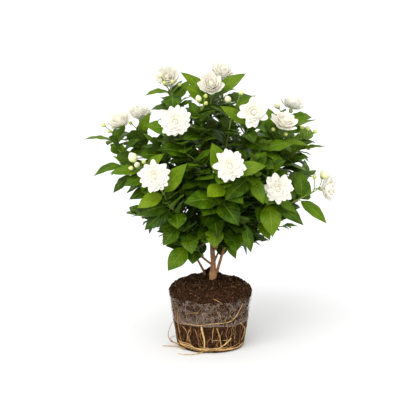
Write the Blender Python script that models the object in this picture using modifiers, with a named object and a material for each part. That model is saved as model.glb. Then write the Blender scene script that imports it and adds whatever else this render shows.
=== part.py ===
"""A flowering arabian jasmine on its bare root ball, as it comes out of its nursery pot.

Blender works in metres; every size below is in millimetres. The origin is the centre of the ball's flat
base, +Z is up and -Y is the front. Places on the plant are written as (across, up, deep): across and up are
measured in the picture plane of someone who looks down on the plant by VIEW_TILT from VIEW_DISTANCE away, and
deep is the distance behind the plant's middle plane, negative in front of it.
"""

import math

import bmesh
import bpy
import numpy as np
from mathutils import Matrix, Vector
from mathutils.bvhtree import BVHTree

MM = 0.001
CLEARANCE = 0.3

VIEW_TILT = math.radians(12.5)
VIEW_DISTANCE = 2600.0
VIEW_CENTRE = np.array((-3.75, 0.0, 211.9))
BASE_BELOW_CENTRE = 203.25

BALL_BASE_R = 49.5
BALL_TOP_R = 62.5
BALL_HEIGHT = 86.0
MOUND_HEIGHT = 14.0
BALL_SIDES = 22
MOUND_RINGS = (14.0, 26.0, 38.0, 50.0, 58.0, 62.0)
MOUND_POWER = 6
BALL_LEVELS = (83.0, 60.0, 36.0, 16.0, 3.0)
BASE_BEVEL = 2.0
SOIL_LUMP = 1.3
CLUMP_AT = (2.0, 25.0)
CLUMP_HEIGHT = 11.0
CLUMP_SPREAD = 9.0
HOLE_FLOOR = 80.0

FILM_LOW = 42.0
FILM_HIGH = 80.0
FILM_WALL = 0.7

ROOT_R = 0.8
ROOT_RING_HEIGHT = 3.4
ROOT_STRANDS = 10
STRAND_TOP = FILM_LOW - 3.5
RING_R = 1.1

STEM_R = 1.15
STEM_TIP_R = 0.85
TWIG_R = 1.35
TWIG_FEET = (0.0, 0.35, 0.7)
TWIG_RISE = 8.0
BARE_STEPS = 4
TWIG_BOW = 0.13
TWIG_END = 5.0
TWIG_STRAIGHT = 60.0
STALK_R = 0.7
LEAF_WALL = 0.7
LEAF_SPACING = 40.0
LEAF_LENGTH = 47.0
FIRST_PAIR = 5.0
LAST_PAIR = 2.0
LEAF_SHARE = (0.54, 0.64)
HERO_SWING = 0.12
RULE_SWING = 0.2
RULE_ARCH = 0.10
NARROW_LEAF = 17.5
BLADE_GUARD = 0.9
GUARD_START = 1.4
OWN_GUARD = 0.2
OWN_START = 6.0

BLOOM_BACK = 11.0
NECK = 4.0
PETAL_WALL = 0.7
FLAT_WITHIN = math.radians(2.5)

LEAF_GREEN = (0.13, 0.30, 0.02)
BARK_BROWN = (0.19, 0.11, 0.06)
SOIL_BROWN = (0.026, 0.012, 0.006)
FILM_GREY = (0.19, 0.17, 0.18)
ROOT_TAN = (0.62, 0.40, 0.16)
PETAL_WHITE = (0.90, 0.90, 0.86)

# Woody stems: radius at the foot, radius at the end, sides (as a bevel resolution), path
TRUNK = (5.2, 2.6, 2, ((3, 92, 5), (4, 118, 5), (3, 140, 6), (2, 168, 8), (0, 200, 8), (-2, 235, 6),
                       (-2, 268, 4)))
LOW_LEFT_STEM = (1.9, 1.5, 0, ((-9, 104, 17), (-13, 114, 13), (-20, 127, 4), (-31, 150, -7), (-44, 176, -18),
                               (-57, 204, -24)))
SIDE_STEMS = (
    (1.7, 1.5, 0, ((4, 117, 5), (-13, 131, 12), (-26, 152, 22), (-38, 185, 30), (-52, 225, 32))),
    (2.4, 1.6, 0, ((4, 103, 5), (10, 110, 3), (20, 141, -2), (33, 170, -8), (48, 198, -10), (62, 226, -6))),
    (1.5, 1.5, 0, ((4, 119, 6), (13, 140, 14), (25, 170, 28), (38, 208, 40), (48, 246, 46))),
    (1.6, 1.4, 0, ((3, 138, 6), (10, 146, -3), (12, 164, -16), (8, 190, -26))),
    (1.8, 1.5, 0, ((1, 180, 8), (-4, 205, 30), (-8, 240, 52), (-10, 275, 60))),
    (1.7, 1.5, 0, ((-1, 225, 6), (-20, 250, 6), (-42, 270, 8), (-60, 290, 10))),
    (1.7, 1.5, 0, ((-1, 225, 6), (22, 252, 8), (42, 276, 10), (54, 296, 12))),
    (1.8, 1.4, 0, ((-2, 262, 4), (-4, 290, 0), (0, 315, 2), (4, 335, 6))),
)

# Leafy stems. A leaf is (place counted in the path's points, tip, width, how far its face turns to the front,
# arch). A bloom is (centre, facing, form); a bud is (centre, radius).
LEAFY_STEMS = {
    "stem_left_low": {
        "path": ((-40, 179, -45), (-51, 197, -70), (-61, 206, -82), (-70, 224, -94), (-82, 240, -101)),
        "leaves": ((3.0, (-110, 203, -118), 21, 1.6, 0.10), (3.0, (-35, 270, -112), 25, 1.2, 0.10),
                   (2.0, (-107, 193, -92), 24, 1.0, 0.10), (1.7, (-99, 170, -98), 24, 1.2, 0.12),
                   (1.0, (-49, 172, -99), 28, 1.0, 0.10)),
        "bloom": ((-84.5, 251, -121), (0.05, -1.0, 0.12), "open"),
    },
    "stem_centre": {
        "path": ((1, 190, -30), (7, 206, -62), (13, 215, -80), (22, 239, -104), (27, 256, -116)),
        "leaves": ((2.0, (-40, 211, -112), 30, 1.4, 0.10), (2.0, (42, 177, -110), 32, 1.2, 0.12),
                   (0.5, (10, 157, -92), 26, 1.2, 0.10), (3.3, (2, 301, -112), 28, 1.4, 0.08),
                   (3.9, (84, 266, -124), 22, 1.5, 0.10), (2.9, (-5, 220, -141), 25, 1.4, 0.06)),
        "bloom": ((29, 267, -138), (0.02, -1.0, 0.1), "open"),
    },
    "stem_centre_right": {
        "path": ((35, 194, -20), (49, 221, -60), (61, 250, -90), (66, 270, -98)),
        "leaves": ((2.0, (22, 215, -121), 28, 1.2, 0.08), (2.0, (82, 212, -118), 20, 1.2, 0.10)),
    },
    "stem_right_low": {
        "path": ((71, 182, -25), (80, 200, -50), (89, 214, -66), (97, 226, -76)),
        "leaves": ((1.8, (93, 160, -94), 30, 1.3, 0.10), (2.0, (136, 173, -72), 22, 1.0, 0.10),
                   (2.6, (130, 195, -80), 13, 1.0, 0.08), (0.2, (89, 155, -60), 18, 1.0, 0.10)),
        "bloom": ((102, 233, -97), (-0.2, -1.0, 0.0), "open"),
    },
    "stem_right_far": {
        "path": ((92, 199, -5), (109, 206, -12), (126, 213.5, -18), (144, 222.5, -22), (152, 226, -23)),
        "leaves": ((2.3, (174, 180, -42), 19, 0.8, 0.10), (2.6, (134, 259, -34), 22, 1.0, 0.08),
                   (2.0, (114, 248, -30), 16, 0.8, 0.08)),
        "bloom": ((171, 232.5, -24), (0.93, -0.3, 0.12), "cup"),
        "buds": (((171, 254, -26), 6.0), ((156, 250, -24), 2.6)),
    },
    "stem_right_mid": {
        "path": ((76, 232, -4), (96, 256, -8), (115, 276, -10), (131, 289, -12)),
        "leaves": ((3.0, (172, 295, -12), 13, 0.2, 0.10), (2.0, (147, 279, -34), 17, 0.8, 0.08),
                   (1.3, (151, 250, -14), 15, 0.4, 0.14), (2.0, (144, 268, 24), 20, 0.6, 0.10)),
    },
    "stem_right_top": {
        "path": ((65, 260, -10), (80, 285, -16), (92, 301, -20), (101, 311, -21)),
        "leaves": ((3.0, (78, 358, -6), 20, 0.8, 0.08), (3.0, (159, 336, -14), 14, 0.2, 0.08),
                   (2.0, (147, 297, -34), 15, 0.4, 0.10)),
        "bloom": ((109, 329, -28), (0.3, -0.45, 0.8), "cup"),
        "buds": (((94, 321, -34), 2.6), ((113, 314, -36), 2.4)),
    },
    "stem_right_buds": {
        "path": ((89, 263, 15), (110, 283, 12), (128, 296, 6), (141, 306, 2)),
        "leaves": ((2.0, (150, 292, 28), 20, 0.6, 0.10),),
        "buds": (((137.5, 324, 2), 2.6), ((146, 323, -2), 3.2), ((157, 318, 0), 2.8)),
    },
    "stem_right_back": {
        "path": ((59, 268, 40), (80, 300, 49), (100, 322, 48), (113, 333, 44)),
        "leaves": ((3.0, (152, 339, 22), 24, 0.9, 0.10), (2.0, (140, 318, 30), 22, 0.8, 0.10)),
        "bloom": ((122, 354, 42), (0.25, 0.2, 0.9), "cup"),
        "buds": (((100, 357, 36), 4.2),),
    },
    "stem_top_right": {
        "path": ((41, 275, -20), (49, 301, -36), (56, 323, -44), (62, 338, -46)),
        "leaves": ((2.2, (14, 356, -62), 19, 1.2, 0.08), (1.0, (88, 290, -78), 22, 1.2, 0.10),
                   (1.6, (66, 300, -96), 22, 1.2, 0.10)),
        "bloom": ((64.5, 347, -66), (0.05, -1.0, 0.12), "star"),
    },
    "stem_top_centre": {
        "path": ((-4, 290, -20), (-4, 323, -20), (-1, 353, -16), (1.5, 369, -14)),
        "leaves": ((2.9, (-45, 407, -14), 19, 1.0, 0.08), (2.3, (-40, 387, -32), 24, 1.2, 0.12),
                   (3.0, (53, 405, -10), 21, 1.2, 0.08), (2.7, (43, 377, -34), 13, 0.4, 0.10)),
        "bloom": ((0.8, 386, -30), (0.0, -0.8, 0.6), "cup"),
    },
    "stem_top_back": {
        "path": ((11, 290, 25), (17, 332, 32), (19, 362, 34), (17, 382, 33)),
        "leaves": ((2.0, (60, 372, 50), 22, 0.6, 0.10), (2.0, (-20, 372, 62), 22, 0.4, 0.10)),
        "bloom": ((17, 403, 28), (0.15, -0.35, 0.85), "cup"),
        "buds": (((27, 396, 16), 2.4),),
    },
    "stem_buds_left": {
        "path": ((-16, 290, -45), (-14, 323, -50), (-13.5, 349, -46)),
        "leaves": ((1.4, (-34, 364, -48), 16, 0.8, 0.08), (0.6, (-42, 306, -92), 22, 1.2, 0.10)),
        "buds": (((-18, 367, -46), 4.2), ((-7.5, 371, -44), 2.6), ((-7, 360, -50), 2.6)),
    },
    "stem_buds_right": {
        "path": ((22, 287, -38), (28, 320, -42), (33, 349, -38)),
        "leaves": ((2.0, (68, 372, -18), 13, 0.6, 0.10),),
        "buds": (((26, 366, -40), 4.6), ((46, 376, -34), 3.2), ),
    },
    "stem_top_left": {
        "path": ((-31, 287, 5), (-41, 323, 6), (-52, 353, 4), (-58, 376, 2)),
        "leaves": ((2.9, (-98, 372, -12), 15, 0.3, 0.14), (2.9, (-56, 348, -40), 26, 1.4, 0.12),
                   (2.4, (-31, 395, 10), 17, 0.8, 0.08), (2.0, (-89, 351, -4), 18, 0.4, 0.10),
                   (2.0, (-26, 364, -16), 15, 0.6, 0.08)),
        "bloom": ((-64, 396.5, 14), (-0.1, -0.8, 0.55), "cup"),
        "buds": (((-76, 403, -25), 4.0), ((-69, 391, -24), 2.6), ((-57, 393, -24), 2.8),
                 ((-46, 388, -8), 2.4)),
    },
    "stem_upper_left": {
        "path": ((-25, 257, -45), (-34, 283, -62), (-43, 307, -70), (-49, 323, -71)),
        "leaves": ((2.4, (-100, 328, -82), 23, 1.3, 0.10), (2.0, (1, 316, -104), 16, 0.7, 0.16),
                   (1.0, (-78, 290, -100), 22, 1.2, 0.10)),
        "bloom": ((-52.5, 333, -90), (0.0, -1.0, 0.1), "open"),
    },
    "stem_left_top": {
        "path": ((-88, 236, -30), (-110, 259, -38), (-128, 276, -40), (-136, 289, -36), (-143, 302, -27),
                 (-137, 309, -19)),
        "leaves": ((4.0, (-190.5, 306, -35), 14, 0.2, 0.12), (3.0, (-153, 310, -66), 23, 1.0, 0.10),
                   (2.4, (-106, 306, -74), 18, 0.9, 0.10)),
        "bloom": ((-134.8, 329, -20), (-0.3, -0.45, 0.8), "cup"),
        "buds": (((-161, 328, -36), 3.0), ((-152, 318, -40), 2.2)),
    },
    "stem_left_back": {
        "path": ((-76, 260, 15), (-93, 284, 18), (-105, 304, 21), (-107, 319, 27)),
        "leaves": ((2.2, (-90, 347, 4), 17, 1.1, 0.12), (2.0, (-145, 316, 6), 14, 0.4, 0.08),
                   (1.2, (-139, 299, 2), 15, 0.4, 0.14), (1.6, (-124, 278, 4), 14, 0.8, 0.08)),
        "bloom": ((-105, 340.5, 30), (0.0, -0.2, 0.95), "cup"),
        "buds": (((-120, 331, 8), 2.4),),
    },
    "stem_left_buds": {
        "path": ((-67, 215, -45), (-82, 233, -62), (-95, 250, -74), (-106, 262, -80)),
        "leaves": ((2.4, (-68, 285, -92), 17, 1.0, 0.10), (2.6, (-151, 255, -84), 19, 0.8, 0.10),
                   (2.0, (-130, 236, -94), 20, 1.0, 0.10), (1.0, (-122, 216, -76), 19, 1.0, 0.10)),
        "buds": (((-116.5, 279, -86), 6.4), ((-110, 268, -90), 4.0), ((-119, 263, -86), 3.0),
                 ((-100, 272, -84), 3.0)),
    },
    "stem_left_arch": {
        "path": ((-80, 216, -26), (-98, 236, -44), (-116, 254, -60), (-129, 266, -68)),
        "leaves": ((3.0, (-175, 251, -72), 16, 0.6, 0.16), (2.0, (-146, 226, -56), 16, 0.8, 0.10)),
    },
    "stem_low_leaf": {
        "path": ((-14, 134, -12), (-24, 141, -24), (-34, 146, -36)),
        "leaves": ((2.0, (-64, 109, -60), 27, 1.6, 0.08), (1.0, (-27, 119, -50), 22, 1.0, 0.10)),
    },
    "stem_low_left": {
        "path": ((-13, 150, -12), (-24, 158, -30), (-34, 167, -46), (-46, 177, -56)),
        "leaves": ((2.0, (-28, 134, -72), 25, 1.2, 0.12), (3.0, (-71, 147, -66), 24, 1.0, 0.10),
                   (3.0, (-78, 172, -60), 22, 1.0, 0.12), (1.0, (-58, 150, -38), 20, 1.0, 0.10)),
    },
    "stem_low_centre": {
        "path": ((2, 153, -14), (4, 166, -40), (6, 176, -58)),
        "leaves": ((2.0, (6, 143, -84), 26, 1.4, 0.10), (1.0, (-14, 152, -78), 22, 1.2, 0.10)),
    },
    "stem_low_right": {
        "path": ((19, 155, -6), (30, 166, -26), (39, 175, -40), (50, 182, -48)),
        "leaves": ((1.4, (38, 137, -66), 30, 1.3, 0.10), (0.3, (38, 127, -22), 15, 0.8, 0.10),
                   (3.0, (57, 136, -56), 16, 0.8, 0.10), (2.0, (54, 132, -20), 10, 0.6, 0.08)),
    },
    "stem_inner_left": {
        "path": ((-8, 193, -20), (-14, 220, -48), (-18, 246, -74), (-20, 268, -88)),
        "leaves": (),
    },
    "stem_inner_right": {
        "path": ((40, 232, -14), (52, 252, -36), (62, 276, -52), (75, 292, -60)),
        "leaves": ((2.0, (96, 262, -84), 24, 1.2, 0.10),),
    },
    "stem_left_mid": {
        "path": ((-48, 236, -14), (-60, 258, -32), (-72, 280, -40), (-82, 296, -44)),
        "leaves": ((2.0, (-108, 282, -64), 22, 1.0, 0.10),),
    },
    "stem_right_fill": {
        "path": ((58, 206, -24), (69, 222, -42), (78, 240, -60), (86, 256, -70)),
        "leaves": ((3.0, (108, 274, -88), 20, 1.0, 0.10),),
    },
}

# Stems of the unseen back: where the tip is (turn about the trunk in degrees, height, reach), and its bloom.
# Each starts at BACK_START of its way from BACK_FOOT.
BACK_STEMS = (
    (-15, 190, 110, None),
    (16, 250, 150, None),
    (44, 185, 125, None),
    (64, 285, 158, None),
    (96, 230, 150, "open"),
    (112, 325, 140, "cup"),
    (142, 250, 158, None),
    (168, 195, 112, None),
    (78, 350, 95, None),
)
BACK_START = 0.36
BACK_FOOT = (0.0, 8.0, 150.0)
BACK_BOW = 10.0
BLOOM_STAND = 16.0

# Leaves by rule stay inside this outline: height, reach to the left, reach to the right
CROWN_OUTLINE = ((118, 30, 38), (135, 62, 58), (150, 80, 86), (175, 100, 108), (200, 122, 134),
                 (225, 134, 146), (250, 150, 152), (280, 150, 152), (300, 156, 158), (325, 142, 156),
                 (345, 112, 150), (362, 92, 112), (378, 70, 62), (395, 52, 50), (402, 30, 34))
CROWN_DEPTH_SHARE = 1.06

# Trailing roots on the surface, and loops beside the ball: radius, path as (x, y, z)
LOOSE_ROOTS = (
    (1.0, ((-38, -36, 3.2), (-50, -22, 2.4), (-62, -17, 1.4), (-74, -14, 1.1))),
    (0.9, ((-10, -50.5, 3.0), (-20, -57, 1.6), (-34, -60, 1.1), (-49, -55, 1.0))),
    (0.8, ((-50.5, -10, 3.6), (-60, -14, 8), (-64, -14, 18), (-61, -9, 30), (-56.6, -6, 37))),
    (0.7, ((-47.6, -19.4, 3.6), (-58, -20, 10), (-60, -19, 15), (-52.2, -13, 16.5))),
)
FRONT_ROOT_R = 1.5
FRONT_ROOT_TURN = -102.0


RIGHT = np.array((1.0, 0.0, 0.0))
UP = np.array((0.0, 0.0, 1.0))
SIGHT = np.array((0.0, math.cos(VIEW_TILT), -math.sin(VIEW_TILT)))
LIFT = np.array((0.0, math.sin(VIEW_TILT), math.cos(VIEW_TILT)))
EYE = VIEW_CENTRE - VIEW_DISTANCE * SIGHT


def place(spot):
    """A point (across, up, deep) of the picture plane, carried along the line of sight to its depth."""
    across, up, deep = spot
    seen = VIEW_CENTRE + (across - VIEW_CENTRE[0]) * RIGHT + (up - BASE_BELOW_CENTRE) * LIFT
    return EYE + (deep - EYE[1]) / (seen[1] - EYE[1]) * (seen - EYE)


def seen_at(point):
    """The (across, up) at which a point is seen: the reverse of place."""
    ray = point - EYE
    hit = EYE + ray * (VIEW_DISTANCE / (ray @ SIGHT)) - VIEW_CENTRE
    return hit[0] + VIEW_CENTRE[0], hit @ LIFT + BASE_BELOW_CENTRE


def unit(vector):
    vector = np.asarray(vector, float)
    return vector / np.linalg.norm(vector)


def material(name, colour, roughness):
    """A plain Principled material."""
    made = bpy.data.materials.new(name)
    made.use_nodes = True
    shader = made.node_tree.nodes["Principled BSDF"]
    shader.inputs["Base Color"].default_value = (*colour, 1.0)
    shader.inputs["Roughness"].default_value = roughness
    return made


def mesh_object(name, points, faces, collection, finish=None):
    """A mesh object from points in mm and faces."""
    mesh = bpy.data.meshes.new(name)
    mesh.from_pydata((np.asarray(points, float) * MM).tolist(), [], [list(map(int, face)) for face in faces])
    mesh.update()
    obj = bpy.data.objects.new(name, mesh)
    if finish:
        mesh.materials.append(finish)
    collection.objects.link(obj)
    return obj


def settled(obj):
    """The object's mesh as its modifiers leave it, with no modifier left."""
    bpy.context.view_layer.update()
    graph = bpy.context.evaluated_depsgraph_get()
    mesh = bpy.data.meshes.new_from_object(obj.evaluated_get(graph))
    obj.modifiers.clear()
    old = obj.data
    obj.data = mesh
    if old.users == 0:
        bpy.data.meshes.remove(old)
    return obj


def tube(name, points, radii, collection, sides=0, finish=None):
    """A round stem as a curve with a bevel, made a closed mesh. Points and radii are in mm."""
    curve = bpy.data.curves.new(name, "CURVE")
    curve.dimensions = "3D"
    curve.fill_mode = "FULL"
    curve.bevel_depth = MM
    curve.bevel_resolution = sides
    curve.use_fill_caps = True
    spline = curve.splines.new("POLY")
    spline.points.add(len(points) - 1)
    for knot, point, radius in zip(spline.points, points, radii):
        knot.co = (*(np.asarray(point) * MM), 1.0)
        knot.radius = radius
    guide = bpy.data.objects.new(name + "_guide", curve)
    collection.objects.link(guide)
    bpy.context.view_layer.update()
    mesh = bpy.data.meshes.new_from_object(guide.evaluated_get(bpy.context.evaluated_depsgraph_get()))
    bpy.data.objects.remove(guide)
    bpy.data.curves.remove(curve)
    shape = bmesh.new()
    shape.from_mesh(mesh)
    bmesh.ops.remove_doubles(shape, verts=shape.verts, dist=1e-6)
    bmesh.ops.recalc_face_normals(shape, faces=shape.faces)
    bmesh.ops.triangulate(shape, faces=shape.faces)
    shape.to_mesh(mesh)
    shape.free()
    mesh.name = name
    if finish:
        mesh.materials.append(finish)
    obj = bpy.data.objects.new(name, mesh)
    collection.objects.link(obj)
    return obj


def tidied(obj):
    """Clears the needless points that a union leaves on edges and flat faces, and splits it to triangles."""
    shape = bmesh.new()
    shape.from_mesh(obj.data)
    bmesh.ops.dissolve_limit(shape, angle_limit=FLAT_WITHIN, verts=shape.verts, edges=shape.edges)
    bmesh.ops.triangulate(shape, faces=shape.faces)
    shape.to_mesh(obj.data)
    shape.free()


def fused(name, pieces, finish):
    """The pieces joined by one Boolean union on their collection, as one object of the plant."""
    first, others = pieces[0], pieces[1:]
    shelf = bpy.data.collections.new(name + "_pieces")
    bpy.context.scene.collection.children.link(shelf)
    for piece in others:
        for owner in list(piece.users_collection):
            owner.objects.unlink(piece)
        shelf.objects.link(piece)
    if others:
        union = first.modifiers.new("Union", "BOOLEAN")
        union.operation = "UNION"
        union.operand_type = "COLLECTION"
        union.collection = shelf
        settled(first)
        tidied(first)
    for piece in others:
        mesh = piece.data
        bpy.data.objects.remove(piece)
        if mesh.users == 0:
            bpy.data.meshes.remove(mesh)
    bpy.data.collections.remove(shelf)
    first.name = name
    first.data.name = name
    first.data.materials.clear()
    first.data.materials.append(finish)
    for owner in list(first.users_collection):
        owner.objects.unlink(first)
    PLANT.objects.link(first)
    return first


def along(path, at):
    """The point and the direction at a place counted in the path's points."""
    low = min(int(at), len(path) - 2)
    share = at - low
    return path[low] * (1 - share) + path[low + 1] * share, unit(path[low + 1] - path[low])


class Shapes:
    """The solids placed so far, each as a tree of its triangles with its box, to find what would cross."""

    def __init__(self):
        self.trees = []

    def add(self, points, faces, tag):
        points = np.asarray(points, float)
        tree = BVHTree.FromPolygons(points.tolist(), [list(map(int, face)) for face in faces])
        self.trees.append((points.min(axis=0), points.max(axis=0), tree, tag))

    def add_object(self, obj, tag):
        mesh = obj.data
        points = np.array([obj.matrix_world @ vertex.co for vertex in mesh.vertices]) / MM
        self.add(points, [tuple(face.vertices) for face in mesh.polygons], tag)

    def hit(self, points, faces, skip=()):
        """Whether the closed shape crosses any that is not skipped."""
        low, high = points.min(axis=0), points.max(axis=0)
        tree = None
        for floor, roof, other, tag in self.trees:
            if tag in skip or (low > roof).any() or (high < floor).any():
                continue
            if tree is None:
                tree = BVHTree.FromPolygons(points.tolist(), [list(map(int, face)) for face in faces])
            if tree.overlap(other):
                return True
        return False


# A blade's outline from its foot to its tip: at each station, the share of the length and of the full width
BLADE_STATIONS = ((0.28, 0.46), (0.64, 0.43))
BLADE_FOLD = math.radians(14)
KITE_STATIONS = ((0.44, 0.50),)
# Its faces and its rim, for a blade folded along its rib and for a plain kite of a blade
FOLDED = (((0, 2, 1), (0, 3, 2), (1, 2, 5), (1, 5, 4), (2, 3, 6), (2, 6, 5), (4, 5, 7), (5, 6, 7)),
          (0, 3, 6, 7, 4, 1))
KITE = (((0, 2, 1), (1, 2, 3)), (0, 2, 3, 1))


def plate(top, ups, thick, faces, rim):
    """A closed solid on both sides of a sheet: its points moved along ups by thick, joined round the rim."""
    count = len(top)
    points = np.concatenate([top + thick * ups, top - thick * ups])
    sides = list(faces) + [tuple(index + count for index in face[::-1]) for face in faces]
    for a, b in zip(rim, rim[1:] + rim[:1]):
        sides += [(a + count, b + count, b), (a + count, b, a)]
    return points, sides


def blade(root, tip, width, normal, arch, folded=True, grow=0.0, start=0.0):
    """A leaf as a closed solid on an arched mid-line from root to tip, a folded one bent up along it to a V.

    The mid-line is a quadratic curve that rises along the leaf's normal by arch times its length. At each
    station the two edges stand out to the sides, and up by the fold. grow makes the leaf thicker and wider on
    all sides, and start leaves out that length of its foot: both are for finding what the leaf would cross.
    """
    chord = tip - root
    length = np.linalg.norm(chord)
    lift = unit(normal - (normal @ chord) * chord / length**2)
    knee = (root + tip) / 2 + 2 * arch * length * lift

    def middle(share):
        point = (1 - share) ** 2 * root + 2 * share * (1 - share) * knee + share * share * tip
        ahead = unit((1 - share) * (knee - root) + share * (tip - knee))
        side = unit(np.cross(ahead, lift))
        return point, side, np.cross(side, ahead)

    point, side, up = middle(start / length)
    top, ups = [point], [up]
    for share, wide in BLADE_STATIONS if folded else KITE_STATIONS:
        point, side, up = middle(share)
        reach = wide * width + grow
        rise = reach * math.sin(BLADE_FOLD) * up
        across = reach * math.cos(BLADE_FOLD) * side
        row = [point - across, point + across]
        if folded:
            row = [point - across + rise, point, point + across + rise]
        top += row
        ups += [up] * len(row)
    point, side, up = middle(1.0)
    top.append(point + grow * unit(tip - knee))
    ups.append(up)
    faces, rim = FOLDED if folded else KITE
    return plate(np.array(top), np.array(ups), LEAF_WALL / 2 + grow, faces, rim)


def ball_radius(height):
    """The ball's radius at a height: a straight taper."""
    return BALL_BASE_R + (BALL_TOP_R - BALL_BASE_R) * height / BALL_HEIGHT


def turned(name, profile, closed, finish):
    """A turned shape: a profile of (radius, height), given down its outer side, round the upright axis."""
    edges = [(i, i + 1) for i in range(len(profile) - 1)]
    if closed:
        edges.append((len(profile) - 1, 0))
    mesh = bpy.data.meshes.new(name)
    mesh.from_pydata([(r * MM, 0.0, z * MM) for r, z in profile], edges, [])
    mesh.materials.append(finish)
    obj = bpy.data.objects.new(name, mesh)
    PLANT.objects.link(obj)
    screw = obj.modifiers.new("Turn", "SCREW")
    screw.steps = BALL_SIDES
    screw.render_steps = BALL_SIDES
    screw.use_merge_vertices = True
    screw.merge_threshold = 0.00001
    return settled(obj)


def lumps(turn, height):
    """Lumps of soil from 0 to 1: the product of waves that run round the ball and up it."""
    return 0.5 + 0.5 * np.sin(9 * turn + 0.27 * height) * np.cos(6 * turn - 0.41 * height + 1.3)


def rooted(path):
    """The points of a stem that stands in the soil: its path, and a foot below it on the hole's floor."""
    points = [place(spot) for spot in path]
    return np.array([(points[0][0], points[0][1], HOLE_FLOOR + CLEARANCE)] + points)


def root_ball(finish):
    """The soil: a tapered drum with a flat base, a lumpy side and a heaped top, and a hole for each stem.

    The top is a flat heap that falls off at the rim, as 1 minus a high power of the radius, with a clump of
    soil behind the trunk, a bell curve of the distance from its middle.
    """
    profile = [(0.0, BALL_HEIGHT + MOUND_HEIGHT)]
    for reach in MOUND_RINGS:
        profile.append((reach, BALL_HEIGHT + MOUND_HEIGHT * (1 - (reach / BALL_TOP_R) ** MOUND_POWER)))
    profile += [(ball_radius(z), z) for z in BALL_LEVELS]
    profile += [(BALL_BASE_R - BASE_BEVEL, 0.0), (0.0, 0.0)]
    ball = turned("root_ball", profile, False, finish)
    for vertex in ball.data.vertices:
        x, y, z = np.array(vertex.co) / MM
        reach = math.hypot(x, y)
        if z < BALL_LEVELS[-1] - 1.0:
            continue
        lump = lumps(math.atan2(y, x), z)
        if z > BALL_HEIGHT - 2.0:
            away = math.hypot(x - CLUMP_AT[0], y - CLUMP_AT[1])
            clump = CLUMP_HEIGHT * math.exp(-0.5 * (away / CLUMP_SPREAD) ** 2)
            vertex.co.z += (clump + SOIL_LUMP * (2 * lump - 1) * min(1.0, reach / MOUND_RINGS[1])) * MM
        else:
            vertex.co.xy *= 1 - SOIL_LUMP * lump / reach
    for radius, path in ((TRUNK[0], TRUNK[3]), (LOW_LEFT_STEM[0], LOW_LEFT_STEM[3])):
        foot = rooted(path)[0]
        line = [(foot[0], foot[1], HOLE_FLOOR), (foot[0], foot[1], 2 * BALL_HEIGHT)]
        bore = tube("bore", line, [radius + 2 * CLEARANCE] * 2, PLANT, sides=2)
        cut = ball.modifiers.new("Hole", "BOOLEAN")
        cut.operation = "DIFFERENCE"
        cut.object = bore
        settled(ball)
        mesh = bore.data
        bpy.data.objects.remove(bore)
        bpy.data.meshes.remove(mesh)
    return ball


def film_sleeve(finish):
    """The thin film: a tapered ring that hugs the ball, its lower edge slightly waved."""
    inner = [(ball_radius(z) + CLEARANCE, z) for z in (FILM_HIGH, FILM_LOW)]
    outer = [(r + FILM_WALL, z) for r, z in inner]
    film = turned("film_sleeve", [outer[0], outer[1], inner[1], inner[0]], True, finish)
    for vertex in film.data.vertices:
        if vertex.co.z < (FILM_LOW + 1) * MM:
            turn = math.atan2(vertex.co.y, vertex.co.x)
            vertex.co.z += (0.9 * math.sin(3 * turn + 0.6) + 0.5 * math.sin(8 * turn)) * MM
    return film


def root_net(finish):
    """Roots on the ball's lower half: a ring round its base, strands down to it, and loose ones beside it."""
    lie = CLEARANCE + ROOT_R + 0.3
    ring_r = ball_radius(ROOT_RING_HEIGHT) + CLEARANCE + RING_R + 0.3
    bpy.ops.mesh.primitive_torus_add(major_radius=ring_r * MM, minor_radius=RING_R * MM, major_segments=28,
                                     minor_segments=4, location=(0, 0, ROOT_RING_HEIGHT * MM))
    ring = bpy.context.object
    bpy.ops.object.transform_apply(location=True)
    pieces = [ring]
    for k in range(ROOT_STRANDS):
        turn = 2 * math.pi * k / ROOT_STRANDS + 0.15 * math.sin(2.7 * k)
        top = STRAND_TOP - 9 * (k % 3 == 1)
        path = []
        for share in (0.0, 0.5, 1.0):
            height = top + (ROOT_RING_HEIGHT - top) * share
            angle = turn + 0.09 * math.sin(3 * share + k)
            reach = ball_radius(height) + lie
            path.append((reach * math.cos(angle), reach * math.sin(angle), height))
        pieces.append(tube("strand", path, [ROOT_R * 0.8, ROOT_R, ROOT_R], PLANT))
    front = []
    for share in (0.0, 0.5, 1.0):
        height = STRAND_TOP + (ROOT_RING_HEIGHT - STRAND_TOP) * share
        angle = math.radians(FRONT_ROOT_TURN + 4 * share)
        reach = ball_radius(height) + CLEARANCE + FRONT_ROOT_R + 0.1
        front.append((reach * math.cos(angle), reach * math.sin(angle), height))
    pieces.append(tube("strand", front, [FRONT_ROOT_R * 0.7, FRONT_ROOT_R, FRONT_ROOT_R], PLANT))
    for radius, path in LOOSE_ROOTS:
        pieces.append(tube("strand", path, np.linspace(radius, radius * 0.7, len(path)), PLANT))
    return fused("roots", pieces, finish)


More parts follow.
